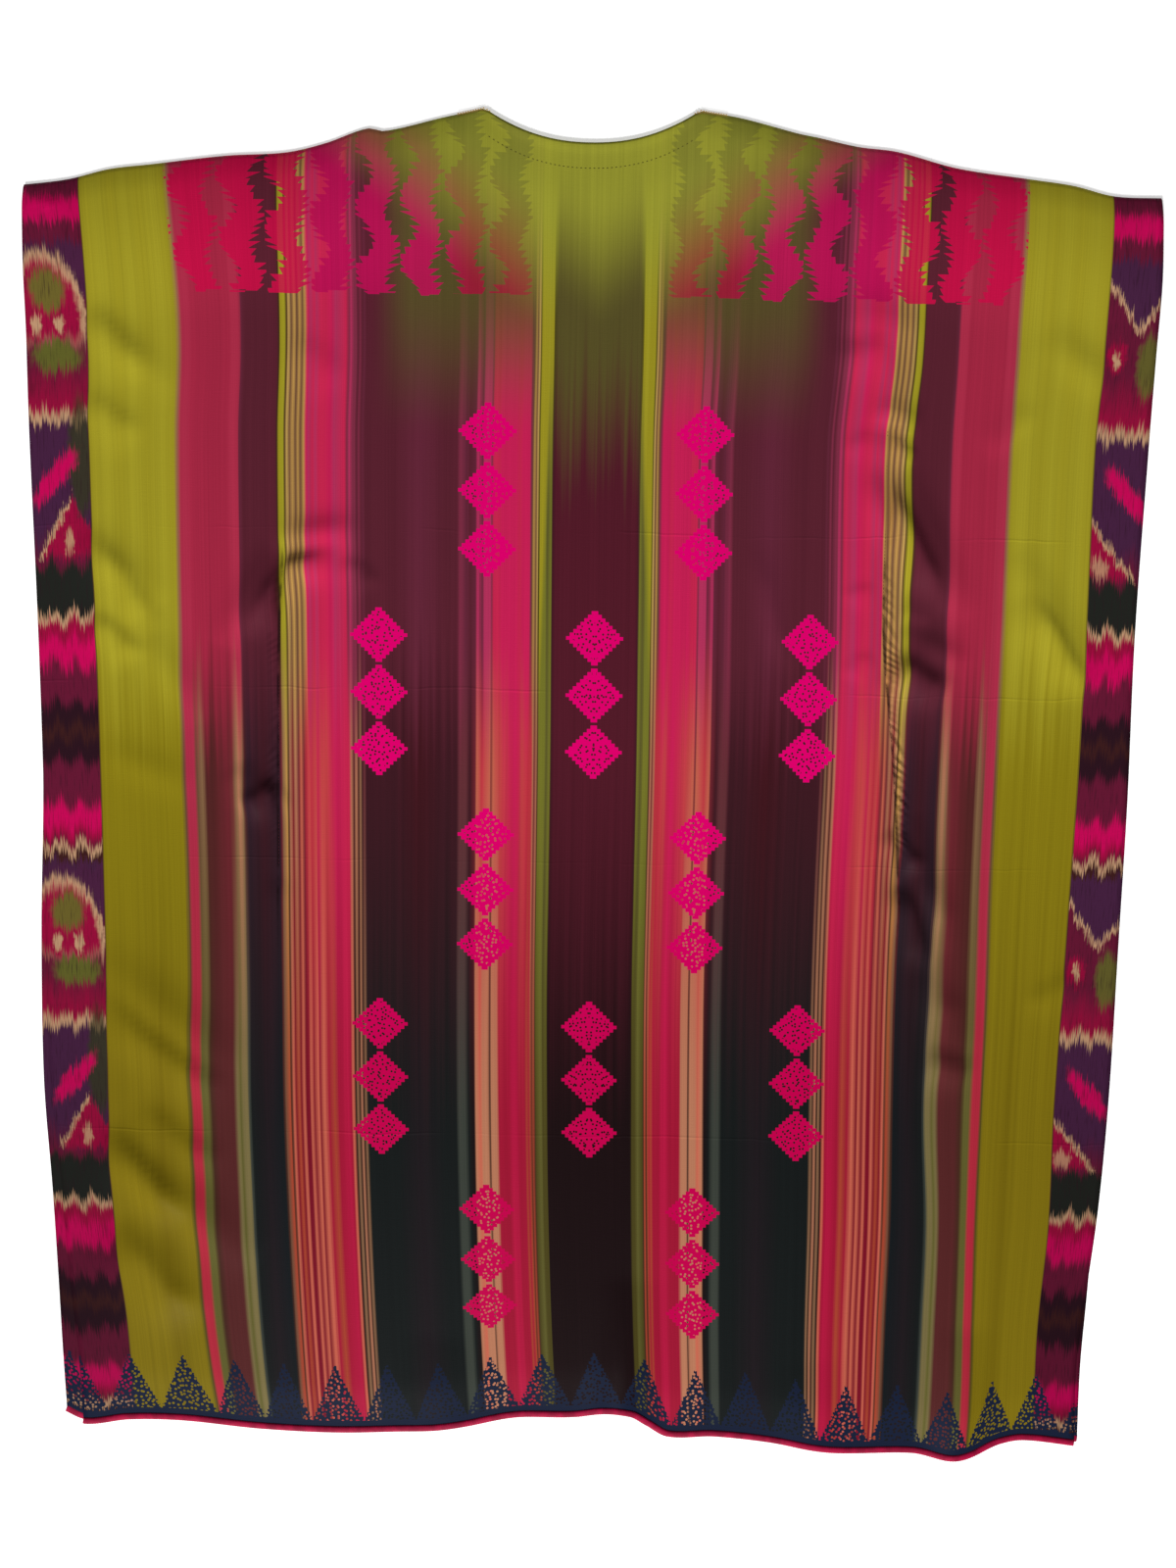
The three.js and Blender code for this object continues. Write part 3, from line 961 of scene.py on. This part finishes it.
# %% Dyes by name
def linear(code):
    parts = [int(code[i : i + 2], 16) / 255 for i in (0, 2, 4)]
    return tuple(c / 12.92 if c <= 0.04045 else ((c + 0.055) / 1.055) ** 2.4 for c in parts) + (1.0,)


DYES = {
    "lime": "a39825",
    "pale lime": "a89e29",
    "deep lime": "8e8016",
    "low lime": "7d6c12",
    "dull lime": "74630f",
    "olive lime": "7a7a2c",
    "olive": "605c2c",
    "moss": "4b441c",
    "olive brown": "5b5329",
    "olive tan": "776b43",
    "stone": "9a664e",
    "brown": "6e4a38",
    "dark brown": "46291f",
    "gold": "c29650",
    "pale gold": "c8a45a",
    "tan": "b97a5c",
    "dull tan": "90694c",
    "orange": "cb6650",
    "coral": "cc4649",
    "brick": "a8442f",
    "red": "c53444",
    "rose": "cf2852",
    "soft rose": "b4304c",
    "hem red": "b02a3c",
    "hot pink": "cf2258",
    "pink": "bb3460",
    "mauve": "843048",
    "crimson": "a01634",
    "deep crimson": "7a1226",
    "ruby": "b41840",
    "red maroon": "ac2a46",
    "red brown": "762832",
    "maroon": "562626",
    "wine": "461820",
    "plum wine": "571d2b",
    "dusky wine": "6a3038",
    "plum": "5e2432",
    "light plum": "69293c",
    "dark plum": "431c25",
    "indigo plum": "36202b",
    "black brown": "1c0f11",
    "smoke": "201a1e",
    "teal black": "171b1b",
    "deep teal": "161b1e",
    "grey green": "3c413a",
    "navy": "182036",
    "magenta": "e80070",
    "deep magenta": "c4004c",
    "hem magenta": "b00a40",
    "dark hem magenta": "900a34",
    "yoke olive": "5a5528",
    "wash lime": "a4a436",
    "wash olive": "828234",
    "yoke magenta": "c01256",
    "yoke crimson": "cc1048",
    "yoke wine": "a41c3a",
    "ikat cream": "c89c78",
    "ikat green": "646c28",
    "ikat moss": "363a20",
    "ikat purple": "4a2444",
    "ikat dusk": "2e1620",
    "ikat black": "242622",
    "ikat maroon": "6a1a36",
    "ikat brown": "42201f",
    "ikat crimson": "a0103e",
    "ikat pink": "d00a5a",
}
DYES = {name: linear(code) for name, code in DYES.items()}
print("dyes:", len(DYES))

# %% [markdown]
# ## The stripes
#
# Along the cloth the stripes change slowly: olive and pink by the shoulders, wine and coral at the
# waist, near-black and crimson by the hem. Each row of the table is one place across the cloth, measured
# from its middle, with the dye it has at the top, at the waist and at the hem. A colour ramp holds at
# most 32 stops, so the width is cut into four ramps, for each of the three heights.

# %% Table of the stripes
# distance from the middle, dye at the top, dye at the waist, dye at the hem
STRIPES = [
    (0, "olive brown", "plum wine", "black brown"),
    (40, "olive brown", "plum wine", "black brown"),
    (43, "moss", "dark plum", "black brown"),
    (44, "lime", "olive lime", "moss"),
    (47.5, "pale lime", "olive", "moss"),
    (50, "lime", "olive lime", "olive"),
    (55, "lime", "olive lime", "moss"),
    (56.2, "moss", "dark brown", "dark brown"),
    (57.6, "pale gold", "tan", "brick"),
    (59.2, "brown", "red brown", "dark brown"),
    (60.8, "gold", "tan", "brick"),
    (62.4, "brown", "red", "crimson"),
    (64, "mauve", "red", "brick"),
    (66, "hot pink", "red", "crimson"),
    (72, "hot pink", "coral", "crimson"),
    (75, "rose", "rose", "ruby"),
    (79, "hot pink", "hot pink", "ruby"),
    (83, "hot pink", "rose", "crimson"),
    (93, "hot pink", "coral", "crimson"),
    (95.5, "rose", "coral", "tan"),
    (101, "rose", "orange", "tan"),
    (102.4, "mauve", "red brown", "black brown"),
    (104, "pink", "orange", "tan"),
    (110, "pink", "coral", "tan"),
    (112, "light plum", "red", "orange"),
    (117, "pink", "orange", "tan"),
    (118.5, "light plum", "red brown", "black brown"),
    (124, "plum", "dark plum", "teal black"),
    (128, "light plum", "dusky wine", "grey green"),
    (134, "mauve", "dusky wine", "grey green"),
    (137, "plum", "dark plum", "teal black"),
    (150, "plum", "dark plum", "teal black"),
    (174, "light plum", "wine", "smoke"),
    (198, "plum", "dark plum", "teal black"),
    (228, "plum", "dark plum", "teal black"),
    (230, "light plum", "dusky wine", "dull tan"),
    (232, "plum", "dark plum", "black brown"),
    (234, "mauve", "dull tan", "tan"),
    (236, "plum", "wine", "black brown"),
    (238, "mauve", "tan", "dull tan"),
    (240.5, "mauve", "maroon", "black brown"),
    (243, "pink", "tan", "orange"),
    (245, "mauve", "rose", "crimson"),
    (248, "rose", "rose", "ruby"),
    (258, "pink", "hot pink", "crimson"),
    (262, "hot pink", "rose", "brick"),
    (268, "rose", "coral", "crimson"),
    (273, "rose", "coral", "orange"),
    (277, "pink", "rose", "deep crimson"),
    (279, "rose", "coral", "orange"),
    (283, "pink", "red", "deep crimson"),
    (286, "hot pink", "coral", "orange"),
    (288, "gold", "red", "deep crimson"),
    (291, "brown", "red brown", "deep crimson"),
    (293.5, "gold", "orange", "orange"),
    (296, "brown", "red brown", "deep crimson"),
    (299, "gold", "tan", "brick"),
    (302, "brown", "deep crimson", "deep crimson"),
    (304.5, "pale gold", "tan", "orange"),
    (306.5, "dark brown", "dark brown", "dark brown"),
    (308.5, "pale lime", "gold", "brick"),
    (312.5, "lime", "dull tan", "brown"),
    (314, "dark brown", "red brown", "dark brown"),
    (316, "plum", "indigo plum", "deep teal"),
    (332, "plum", "dark plum", "smoke"),
    (348, "plum", "indigo plum", "teal black"),
    (351, "light plum", "maroon", "grey green"),
    (353, "soft rose", "dull tan", "olive tan"),
    (357, "soft rose", "tan", "olive tan"),
    (360, "soft rose", "dull tan", "olive"),
    (363, "red maroon", "red brown", "olive tan"),
    (367, "red maroon", "red brown", "maroon"),
    (384, "red maroon", "maroon", "maroon"),
    (390, "red maroon", "maroon", "dark brown"),
    (394, "red maroon", "dull tan", "olive"),
    (399, "red maroon", "brown", "olive"),
    (402, "soft rose", "soft rose", "hem red"),
    (406, "soft rose", "soft rose", "hem red"),
    (409, "soft rose", "soft rose", "hem red"),
    (411.5, "stone", "brown", "moss"),
    (415, "lime", "deep lime", "low lime"),
    (426, "pale lime", "deep lime", "low lime"),
    (440, "lime", "deep lime", "dull lime"),
    (452, "pale lime", "deep lime", "low lime"),
    (464, "lime", "deep lime", "low lime"),
    (478, "pale lime", "deep lime", "low lime"),
    (492.4, "lime", "deep lime", "low lime"),
    (494, "dark brown", "dark brown", "dark brown"),
]
RAMP_ENDS = (0, 124, 240.5, 348, 494)
AT_TOP, AT_WAIST, AT_HEM = 1, 2, 3
print("stripes:", len(STRIPES))

# %% Stripes as colour ramps
def stripes_at(finish, distance, column):
    """The stripes' colour for one height, from four ramps side by side."""
    colour = None
    for low, high in zip(RAMP_ENDS[:-1], RAMP_ENDS[1:]):
        rows = [row for row in STRIPES if low <= row[0] <= high]
        stops = [((row[0] - low) / (high - low), DYES[row[column]]) for row in rows]
        share = (distance - low) / (high - low)
        ramp = finish.node("ShaderNodeValToRGB", {"stops": stops}, {0: share})
        colour = ramp if colour is None else finish.mix(distance > low, colour, ramp)
    return colour


for low, high in zip(RAMP_ENDS[:-1], RAMP_ENDS[1:]):
    print("stops from", low, "to", high, ":", len([row for row in STRIPES if low <= row[0] <= high]))

# %% [markdown]
# ## Motifs on the stripes
#
# Chains of three lacy diamonds are scattered over the stripes in a mirrored half-drop, which is the
# usual way to spread a motif. A row of stepped triangles stands on the hem. Both have stepped edges, as
# designs drawn for weaving do, and small holes from a Voronoi texture, as in lace.

# %% Lacy diamonds and the hem's border
DIAMOND = {"column": 107.5, "last_column": 2, "half": 28.5, "rim": 4.5, "lace": (4.6, 0.24)}
CHAIN = {"repeat": 400, "starts": 130, "top": 445, "low": -560}
STEP = 3.6
BORDER = {"pitch": 55, "height": 66, "step": 0.075, "band": 9, "lace": (4.4, 0.3)}


def lace(finish, x, y, size, hole):
    """1 on the threads of a lace and 0 in its holes."""
    place = finish.node("ShaderNodeCombineXYZ", None, {0: x / size, 1: y / size})
    settings = {"voronoi_dimensions": "2D", "feature": "F1"}
    cells = finish.node("ShaderNodeTexVoronoi", settings, {"Vector": place, "Scale": 1.0})
    return cells > hole


def diamonds(finish, distance, height):
    column = distance.nearest(DIAMOND["column"])
    across = abs(distance - column * DIAMOND["column"])
    drop = column.maths("MODULO", column, 2.0) * (CHAIN["repeat"] / 2)
    up = height - CHAIN["starts"] - drop
    chain = up - up.nearest(CHAIN["repeat"]) * CHAIN["repeat"]
    size = 2 * DIAMOND["half"]
    link = chain.nearest(size)
    three_links = (abs(link) < 1.5) * (column < DIAMOND["last_column"] + 0.5)
    within = three_links * (height < CHAIN["top"]) * (height > CHAIN["low"])
    reach = across + abs(chain - link * size).nearest(STEP) * STEP
    inner = 1 - (reach > DIAMOND["half"] - DIAMOND["rim"])
    holes = 1 - lace(finish, distance, height, *DIAMOND["lace"])
    return (reach < DIAMOND["half"]) * within * (1 - inner * holes)


def hem_border(finish, across, height):
    above = height - HEM_HEIGHT
    tooth = 1 - abs(across / BORDER["pitch"] - across.nearest(BORDER["pitch"])) * 2
    top = tooth.nearest(BORDER["step"]) * BORDER["step"] * BORDER["height"] + BORDER["band"]
    holes = 1 - lace(finish, across, height, *BORDER["lace"])
    solid = above < BORDER["band"]
    return (above < top) * (1 - holes * (1 - solid))


print("a diamond is", 2 * DIAMOND["half"], "mm across")

# %% [markdown]
# ## The yoke
#
# Across the shoulders runs a band of jagged columns, like flames, in crimson over the stripes. Each is a
# repeated stripe that sways and swells in tiers, and its edges have teeth of uneven length. Near the neck
# the whole cloth is washed with olive and lime, and the columns sink into it.

# %% Flames of the yoke
FLAME = {"first": 86, "pitch": 43.4, "last": 414, "margin": 20, "foot": 515, "ragged": 4}
TIER = {"height": 61, "lift": 11, "sway": 6.5, "swell": 6, "swell_lift": 9}
TOOTH = {"height": 6.4, "lift": 2.7, "least": 3, "spread": 10, "stem": 7}


def flames(finish, distance, height):
    place = distance - FLAME["first"]
    column = place.nearest(FLAME["pitch"])
    lifted = height + column * TIER["lift"]
    aside = place - column * FLAME["pitch"] - lifted.sway(TIER["height"]) * TIER["sway"]
    tooth = (height + column * TOOTH["lift"]) / TOOTH["height"]
    number = tooth.whole()
    spot = finish.node("ShaderNodeCombineXYZ", None, {0: column * 2 + (aside > 0), 1: number})
    length = finish.node("ShaderNodeTexWhiteNoise", {"noise_dimensions": "2D"}, {"Vector": spot})
    swell = (lifted + TIER["swell_lift"]).wave(TIER["height"], TIER["swell"])
    point = (tooth - number) * (TOOTH["least"] + length * TOOTH["spread"])
    inside = (distance > FLAME["first"] - FLAME["margin"]) * (distance < FLAME["last"])
    foot = FLAME["foot"] + (length - 0.5) * FLAME["ragged"]
    return (abs(aside) < TOOTH["stem"] + swell + point) * inside * (height > foot)


print("columns on each side:", round((FLAME["last"] - FLAME["first"]) / FLAME["pitch"]) + 1)

# %% [markdown]
# ## The ikat bands
#
# Along both wing edges the print imitates ikat: threads dyed before weaving, so that every shape ends in
# feathered points. One ramp gives the colours up the band, in a repeat of 612 mm. Its height is shifted
# by a zigzag across the band and by a noise that differs from thread to thread.

# %% Ikat colours up the band
IKAT_REPEAT = 612
IKAT_START = -48
BAND_EDGE = 494
ZIGZAG = {"period": 21, "height": 11}
# height in the repeat, dye
IKAT = [
    (0, "ikat brown"),
    (12, "ikat brown"),
    (15, "ikat cream"),
    (20, "ikat cream"),
    (24, "ikat maroon"),
    (32, "ikat crimson"),
    (45, "ikat pink"),
    (58, "ikat pink"),
    (68, "ikat maroon"),
    (102, "ikat maroon"),
    (112, "ikat dusk"),
    (126, "ikat dusk"),
    (138, "ikat brown"),
    (150, "ikat dusk"),
    (162, "ikat dusk"),
    (172, "ikat maroon"),
    (198, "ikat maroon"),
    (210, "ikat pink"),
    (226, "ikat pink"),
    (236, "ikat crimson"),
    (246, "ikat crimson"),
    (250, "ikat cream"),
    (254, "ikat cream"),
    (258, "ikat black"),
    (300, "ikat black"),
    (306, "ikat maroon"),
    (340, "ikat purple"),
    (440, "ikat purple"),
    (444, "ikat cream"),
    (450, "ikat cream"),
    (456, "ikat crimson"),
    (500, "ikat maroon"),
]


def oval(across, height, centre_x, centre_y, radius_x, radius_y):
    """Distance from an oval's middle, 1 on its edge."""
    x = (across - centre_x) / radius_x
    y = (height - centre_y) / radius_y
    return (x * x + y * y).root()


def ikat_band(finish, distance, height, on_right):
    """The band's colours: plain bands up the height, then the figures, a crown, and all darker towards the
    hem.
    """
    out = distance - BAND_EDGE
    fine = (finish.noise(distance, height / 60) - 0.5) * 30
    slow = (finish.noise(distance / 10, height / 60) - 0.5) * 16
    feathered = height + fine + slow
    place = (feathered + out.wave(ZIGZAG["period"], ZIGZAG["height"]) - IKAT_START) / IKAT_REPEAT
    place = place - place.whole()
    stops = [(row[0] / IKAT_REPEAT, DYES[row[1]]) for row in IKAT]
    colour = finish.node("ShaderNodeValToRGB", {"stops": stops}, {0: place})
    local = feathered - IKAT_START
    local = local - (local / IKAT_REPEAT).whole() * IKAT_REPEAT
    wobbly = out + (finish.noise(distance / 8, height / 8) - 0.5) * 7
    colour = ikat_figures(finish, colour, wobbly, local, on_right)
    glow = feathered.ramp_up(572, 580) * (1 - feathered.ramp_up(594, 602))
    crown = finish.mix(glow, DYES["ikat maroon"], DYES["ikat pink"])
    colour = finish.mix(feathered.ramp_up(552, 560), colour, crown)
    haze = finish.noise(distance / 1.3, height / 24, detail=3.0)
    colour = finish.mix(haze.ramp_up(0.5, 0.8) * 0.6, colour, DYES["ikat dusk"])
    return finish.mix(height.ramp_up(-620, 150), dimmed(finish, colour, 0.62), colour)


print("bands in one repeat:", len(IKAT))

# %% [markdown]
# The larger figures of the ikat are a rounded arch with green patches and two pale spots on the left, a
# deep V with one spot on the right, and on both a slanting blot over a pale slanting line. Each is an oval
# or a line whose distance is compared with a limit, softly, because dye creeps along the threads. The ovals
# are in tables: those under the slanting line, and one on top of it.

# %% Tables of the ikat's ovals
# middle across, middle up, half width, half height, dye, strength
LEFT_OVALS = [
    (38, 560, 17, 20, "ikat green", 0.85),
    (30, 498, 24, 15, "ikat green", 0.85),
    (50, 528, 11, 15, "ikat crimson", 1),
    (50, 528, 5, 8, "ikat cream", 1),
    (27, 528, 11, 15, "ikat crimson", 1),
    (27, 528, 5, 8, "ikat cream", 1),
    (8, 402, 12, 56, "ikat moss", 0.8),
]
LEFT_SPOT = [(22, 322, 5, 10, "ikat cream", 0.8)]
RIGHT_OVALS = [
    (45, 506, 12, 28, "ikat green", 0.75),
    (12, 515, 10, 14, "ikat crimson", 1),
    (12, 515, 4, 7, "ikat cream", 1),
]
RIGHT_SPOT = [(10, 312, 9, 10, "ikat cream", 0.7)]
print("ovals on the left:", len(LEFT_OVALS + LEFT_SPOT), "on the right:", len(RIGHT_OVALS + RIGHT_SPOT))

# %% Figures in the ikat
def within(shape, limit, soft=0.12):
    """1 inside a shape and 0 outside it, with a soft edge."""
    return 1 - shape.ramp_up(limit - soft, limit + soft)


def add_ovals(finish, colour, out, local, table):
    for middle_x, middle_y, radius_x, radius_y, dye, strength in table:
        shape = oval(out, local, middle_x, middle_y, radius_x, radius_y)
        colour = finish.mix(within(shape, 1.0, 0.25) * strength, colour, DYES[dye])
    return colour


def left_figures(finish, colour, out, local):
    """An arch with green patches and pale spots, then the pale slanting line, crimson below it."""
    upper = local.ramp_up(505, 525)
    arch = oval(out, local, 42, 521, 42, 76)
    colour = finish.mix(local.ramp_up(540, 560) * 0.9, colour, DYES["ikat purple"])
    colour = finish.mix(within(arch, 1.0, 0.05) * upper, colour, DYES["ikat cream"])
    colour = finish.mix(within(arch, 0.88, 0.08) * upper, colour, DYES["ikat crimson"])
    colour = add_ovals(finish, colour, out, local, LEFT_OVALS)
    slope = local - 363 + abs(out - 19) * 1.7
    colour = finish.mix(within(slope, 0, 3) * local.ramp_up(304, 310), colour, DYES["ikat crimson"])
    colour = finish.mix(within(abs(slope), 3, 2) * (out > 19) * (local > 306), colour, DYES["ikat cream"])
    return add_ovals(finish, colour, out, local, LEFT_SPOT)


def right_figures(finish, colour, out, local):
    """A deep pale V, purple above it, then the slanting line."""
    vee = local - 540 - abs(out - 33) * 1.3
    colour = finish.mix(vee.ramp_up(-3, 3), colour, DYES["ikat purple"])
    colour = finish.mix(within(abs(vee), 3.5, 2), colour, DYES["ikat cream"])
    colour = add_ovals(finish, colour, out, local, RIGHT_OVALS)
    slope = local - 356 + out * 1.25
    colour = finish.mix(within(slope, 0, 3) * local.ramp_up(300, 306), colour, DYES["ikat crimson"])
    colour = finish.mix(within(abs(slope), 3, 2) * (local > 300), colour, DYES["ikat cream"])
    return add_ovals(finish, colour, out, local, RIGHT_SPOT)


def ikat_figures(finish, colour, out, local, on_right):
    left, right = left_figures(finish, colour, out, local), right_figures(finish, colour, out, local)
    leaning = oval(out, local + out, 34, 417, 22, 13)
    return finish.mix(within(leaning, 1.0, 0.25), finish.mix(on_right, left, right), DYES["ikat pink"])


print("the ikat repeats every", IKAT_REPEAT, "mm")

# %% [markdown]
# ## The printed silk
#
# All the parts of the print come together here. The three heights of the stripes are blended, the
# motifs are laid over them, and streaks of single threads run up the cloth.

# %% The whole print
EDGE_BLUR = 2.2
UNEVEN_CHANGE = 130
EARLY_OUTSIDE = 280
WAIST_TO_TOP = (320, 480)
WAIST_TO_HEM = (120, -350)
STREAKS = (0.84, 1.12)


def print_colour(finish, across, height):
    distance = abs(across)
    fine = finish.noise(across / 0.9, height / 420)
    broad = finish.noise(across / 5.5, height / 600)
    shifted = distance + (fine - 0.5) * EDGE_BLUR
    top, waist, hem = (stripes_at(finish, shifted, column) for column in (AT_TOP, AT_WAIST, AT_HEM))
    uneven = height + (broad - 0.5) * UNEVEN_CHANGE
    early = distance.ramp_up(42, 60) * EARLY_OUTSIDE
    colour = finish.mix((uneven + early).ramp_up(*WAIST_TO_TOP), waist, top)
    colour = finish.mix(uneven.ramp_up(*WAIST_TO_HEM), colour, hem)
    colour = yoke_colour(finish, colour, distance, height)
    shade = ((fine - 0.5) * 0.5 + (broad - 0.5) * 0.35).ramp_up(-0.4, 0.4)
    streaked = finish.mix(shade, *(dimmed(finish, colour, times) for times in STREAKS))
    magenta = finish.mix(height.ramp_up(-300, 60), DYES["deep magenta"], DYES["magenta"])
    colour = finish.mix(diamonds(finish, distance, height), streaked, magenta)
    colour = finish.mix(distance > BAND_EDGE, colour, ikat_band(finish, distance, height, across > 0))
    return finish.mix(hem_border(finish, across, height), colour, DYES["navy"])


def dimmed(finish, colour, times):
    settings = {"operation": "SCALE"}
    return finish.node("ShaderNodeVectorMath", settings, {0: colour, "Scale": times})


def yoke_colour(finish, colour, distance, height):
    """An olive shade beside the middle, the lime wash round the neck, and the flames over both."""
    shade = distance.ramp_up(56, 66) * (1 - distance.ramp_up(180, 225)) * height.ramp_up(375, 530)
    colour = finish.mix(shade * 0.85, colour, DYES["yoke olive"])
    middle = 1 - distance.ramp_up(38, 46)
    wash = (height - distance * 0.75 - middle * 50).ramp_up(430, 570)
    washed = finish.mix(wash * 0.95, colour, DYES["wash lime"])
    dye = finish.mix(distance.ramp_up(270, 300), DYES["yoke magenta"], DYES["yoke crimson"])
    dye = finish.mix(distance.ramp_up(120, 165), DYES["yoke wine"], dye)
    dye = finish.mix(wash, dye, DYES["wash olive"])
    strength = 0.94 - 0.3 * wash
    return finish.mix(flames(finish, distance, height) * strength, washed, dye)


print("the stripes change between heights", WAIST_TO_TOP, "and", WAIST_TO_HEM)

# %% [markdown]
# The seam's groove is too fine for the mesh to shade, so its shade is dyed in, patchy as in a real seam.

# %% Shade in the seams
SEAM_SHADE = {"aside": 0.6, "width": (0.5, 2.2), "low": (-150, -60), "high": (255, 275), "strength": 0.75}


def seam_shadow(finish, colour, from_seam, along):
    patchy = finish.noise(along / 26, 0.5).ramp_up(0.25, 0.6)
    beside = 1 - abs(from_seam - SEAM_SHADE["aside"]).ramp_up(*SEAM_SHADE["width"])
    run = along.ramp_up(*SEAM_SHADE["low"]) * (1 - along.ramp_up(*SEAM_SHADE["high"]))
    share = beside * run * patchy * SEAM_SHADE["strength"]
    return finish.mix(share, colour, DYES["black brown"])


print("the seam's shade ends at height", SEAM_SHADE["high"][1])

# %% [markdown]
# The silk's weave and its slubs only lift the surface by a hair, so they go into a Bump node, with the faint
# lines where the garment was folded in storage. The puckers are in the mesh, and the same rhythm in the bump
# sharpens their valleys.

# %% The silk's relief
PRESS_CREASES = (290, 134, -41, -331)
PRESS_HEIGHT = 0.16
THREAD_HEIGHT = 0.05
PUCKER_RELIEF = 1.1


def silk_relief(finish, across, height, from_seam, along):
    """How far the surface stands up, in millimetres: weave, lines pressed in by folding, sharper puckers."""
    slub = finish.noise(across / 14, height / 0.7)
    warp = finish.noise(across / 0.6, height / 30)
    relief = slub * THREAD_HEIGHT + warp * THREAD_HEIGHT
    patchy = finish.noise(across / 130, height / 40).ramp_up(0.45, 0.62)
    wander = finish.noise(across / 60, height / 200) * 8
    for crease in PRESS_CREASES:
        gap = abs(height - crease + wander - 4)
        relief = relief + (1 - gap.ramp_up(0, 1.8)) * patchy * PRESS_HEIGHT
    wander = sum(along.sway(period) * far for far, period in PUCKER_WANDER)
    valley = (along + from_seam * PUCKER_SLANT + wander).wave(PUCKER_PITCH, 1)
    beside = from_seam.ramp_up(-2, 1) * (1 - (from_seam - wander / 3).ramp_up(4, 15))
    run = along.ramp_up(-45, 0) * (1 - along.ramp_up(190, 300)) * ((across > 0) * 0.7 + 0.3)
    patchy = finish.noise(along / 27, 3.5).ramp_up(0.25, 0.65)
    return relief - valley * beside * run * patchy * PUCKER_RELIEF, slub


print("pressed lines:", len(PRESS_CREASES))


# %% Silk finish for both layers
def silk(name):
    finish = Finish(name)

    def measured(map_name):
        place = finish.node("ShaderNodeUVMap", {"uv_map": map_name})
        parts = [finish.node("ShaderNodeSeparateXYZ", None, {0: place}, output=i) for i in range(2)]
        return [(part - 0.5) * UV_SPAN for part in parts]

    across, height = measured("flat_cloth")
    from_seam, along = measured("by_seam")
    colour = seam_shadow(finish, print_colour(finish, across, height), from_seam, along)
    relief, slub = silk_relief(finish, across, height, from_seam, along)
    bump = finish.node("ShaderNodeBump", None, {"Strength": 1.0, "Distance": MM, "Height": relief})
    return finish.finish_surface(colour, 0.4 + slub * 0.16, bump, **{"Specular IOR Level": 0.015})


def dress(pieces, material):
    for piece in pieces:
        piece.data.materials.clear()
        piece.data.materials.append(material)


dress([back_cloth], silk("back_silk"))
dress([front_cloth], silk("front_silk"))
print("nodes in the silk:", len(bpy.data.materials["back_silk"].node_tree.nodes))

# %% [markdown]
# ## Thread
#
# The hem's thread is magenta, the seams' is a dark plum that hides in the print, the facing's is olive and
# the loops are gold. Each has darker patches, and fine ridges from a wave give it its twist.

# %% Thread finishes
# name, dye, darker dye, how fine the twist is, pieces
THREADS = [
    ("hem_thread", "hem magenta", "dark hem magenta", 420.0, (back_hem_roll, front_hem_roll)),
    ("seam_thread", "plum", "dark plum", 700.0, (left_seam, right_seam)),
    ("facing_thread", "moss", "yoke olive", 700.0, (neck_facing,)),
    ("gold_thread", "pale gold", "gold", 700.0, (neck_loops,)),
]


def thread(name, dye, darker, scale):
    finish = Finish(name)
    place = finish.node("ShaderNodeTexCoord", output=3)
    worn = finish.node("ShaderNodeTexNoise", None, {"Vector": place, "Scale": 90.0, "Detail": 3.0})
    colour = finish.mix(worn.ramp_up(0.35, 0.65), DYES[dye], DYES[darker])
    values = {"Vector": place, "Scale": scale}
    twist = finish.node("ShaderNodeTexWave", {"bands_direction": "DIAGONAL"}, values)
    bump = finish.node("ShaderNodeBump", None, {"Strength": 0.35, "Distance": 0.0002, "Height": twist})
    return finish.finish_surface(colour, 0.5 + worn * 0.15, bump, **{"Specular IOR Level": 0.06})


for name, dye, darker, scale, pieces in THREADS:
    dress(pieces, thread(name, dye, darker, scale))
print("thread finishes:", len(THREADS))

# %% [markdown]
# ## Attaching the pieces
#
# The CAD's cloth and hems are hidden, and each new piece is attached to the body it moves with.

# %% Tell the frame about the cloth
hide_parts("back_panel")
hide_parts("front_panel")
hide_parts("back_hem")
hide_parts("front_hem")
back_sewing = [back_hem_roll, left_seam, right_seam, neck_facing, neck_loops]
for piece in (back_cloth, front_cloth, front_hem_roll, *back_sewing):
    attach(piece, "root")

# %% [markdown]
# ## The floor's finish
#
# The floor is a plain matt white with the faintest grain, so that the garment's edge reads clearly.

# %% Floor finish
floor_finish = Finish("white_floor")
floor_place = floor_finish.node("ShaderNodeTexCoord", output=3)
floor_grain = floor_finish.node("ShaderNodeTexNoise", None, {"Vector": floor_place, "Scale": 60.0})
floor_white = floor_finish.mix(floor_grain, (0.94, 0.94, 0.94, 1.0), (0.97, 0.97, 0.97, 1.0))
glow = {"Emission Color": (1.0, 1.0, 1.0, 1.0), "Emission Strength": 0.42}
floor.data.materials.append(floor_finish.finish_surface(floor_white, 0.8, **glow))
print("floor side in metres:", FLOOR_SIZE)

# %% [markdown]
# ## Closing
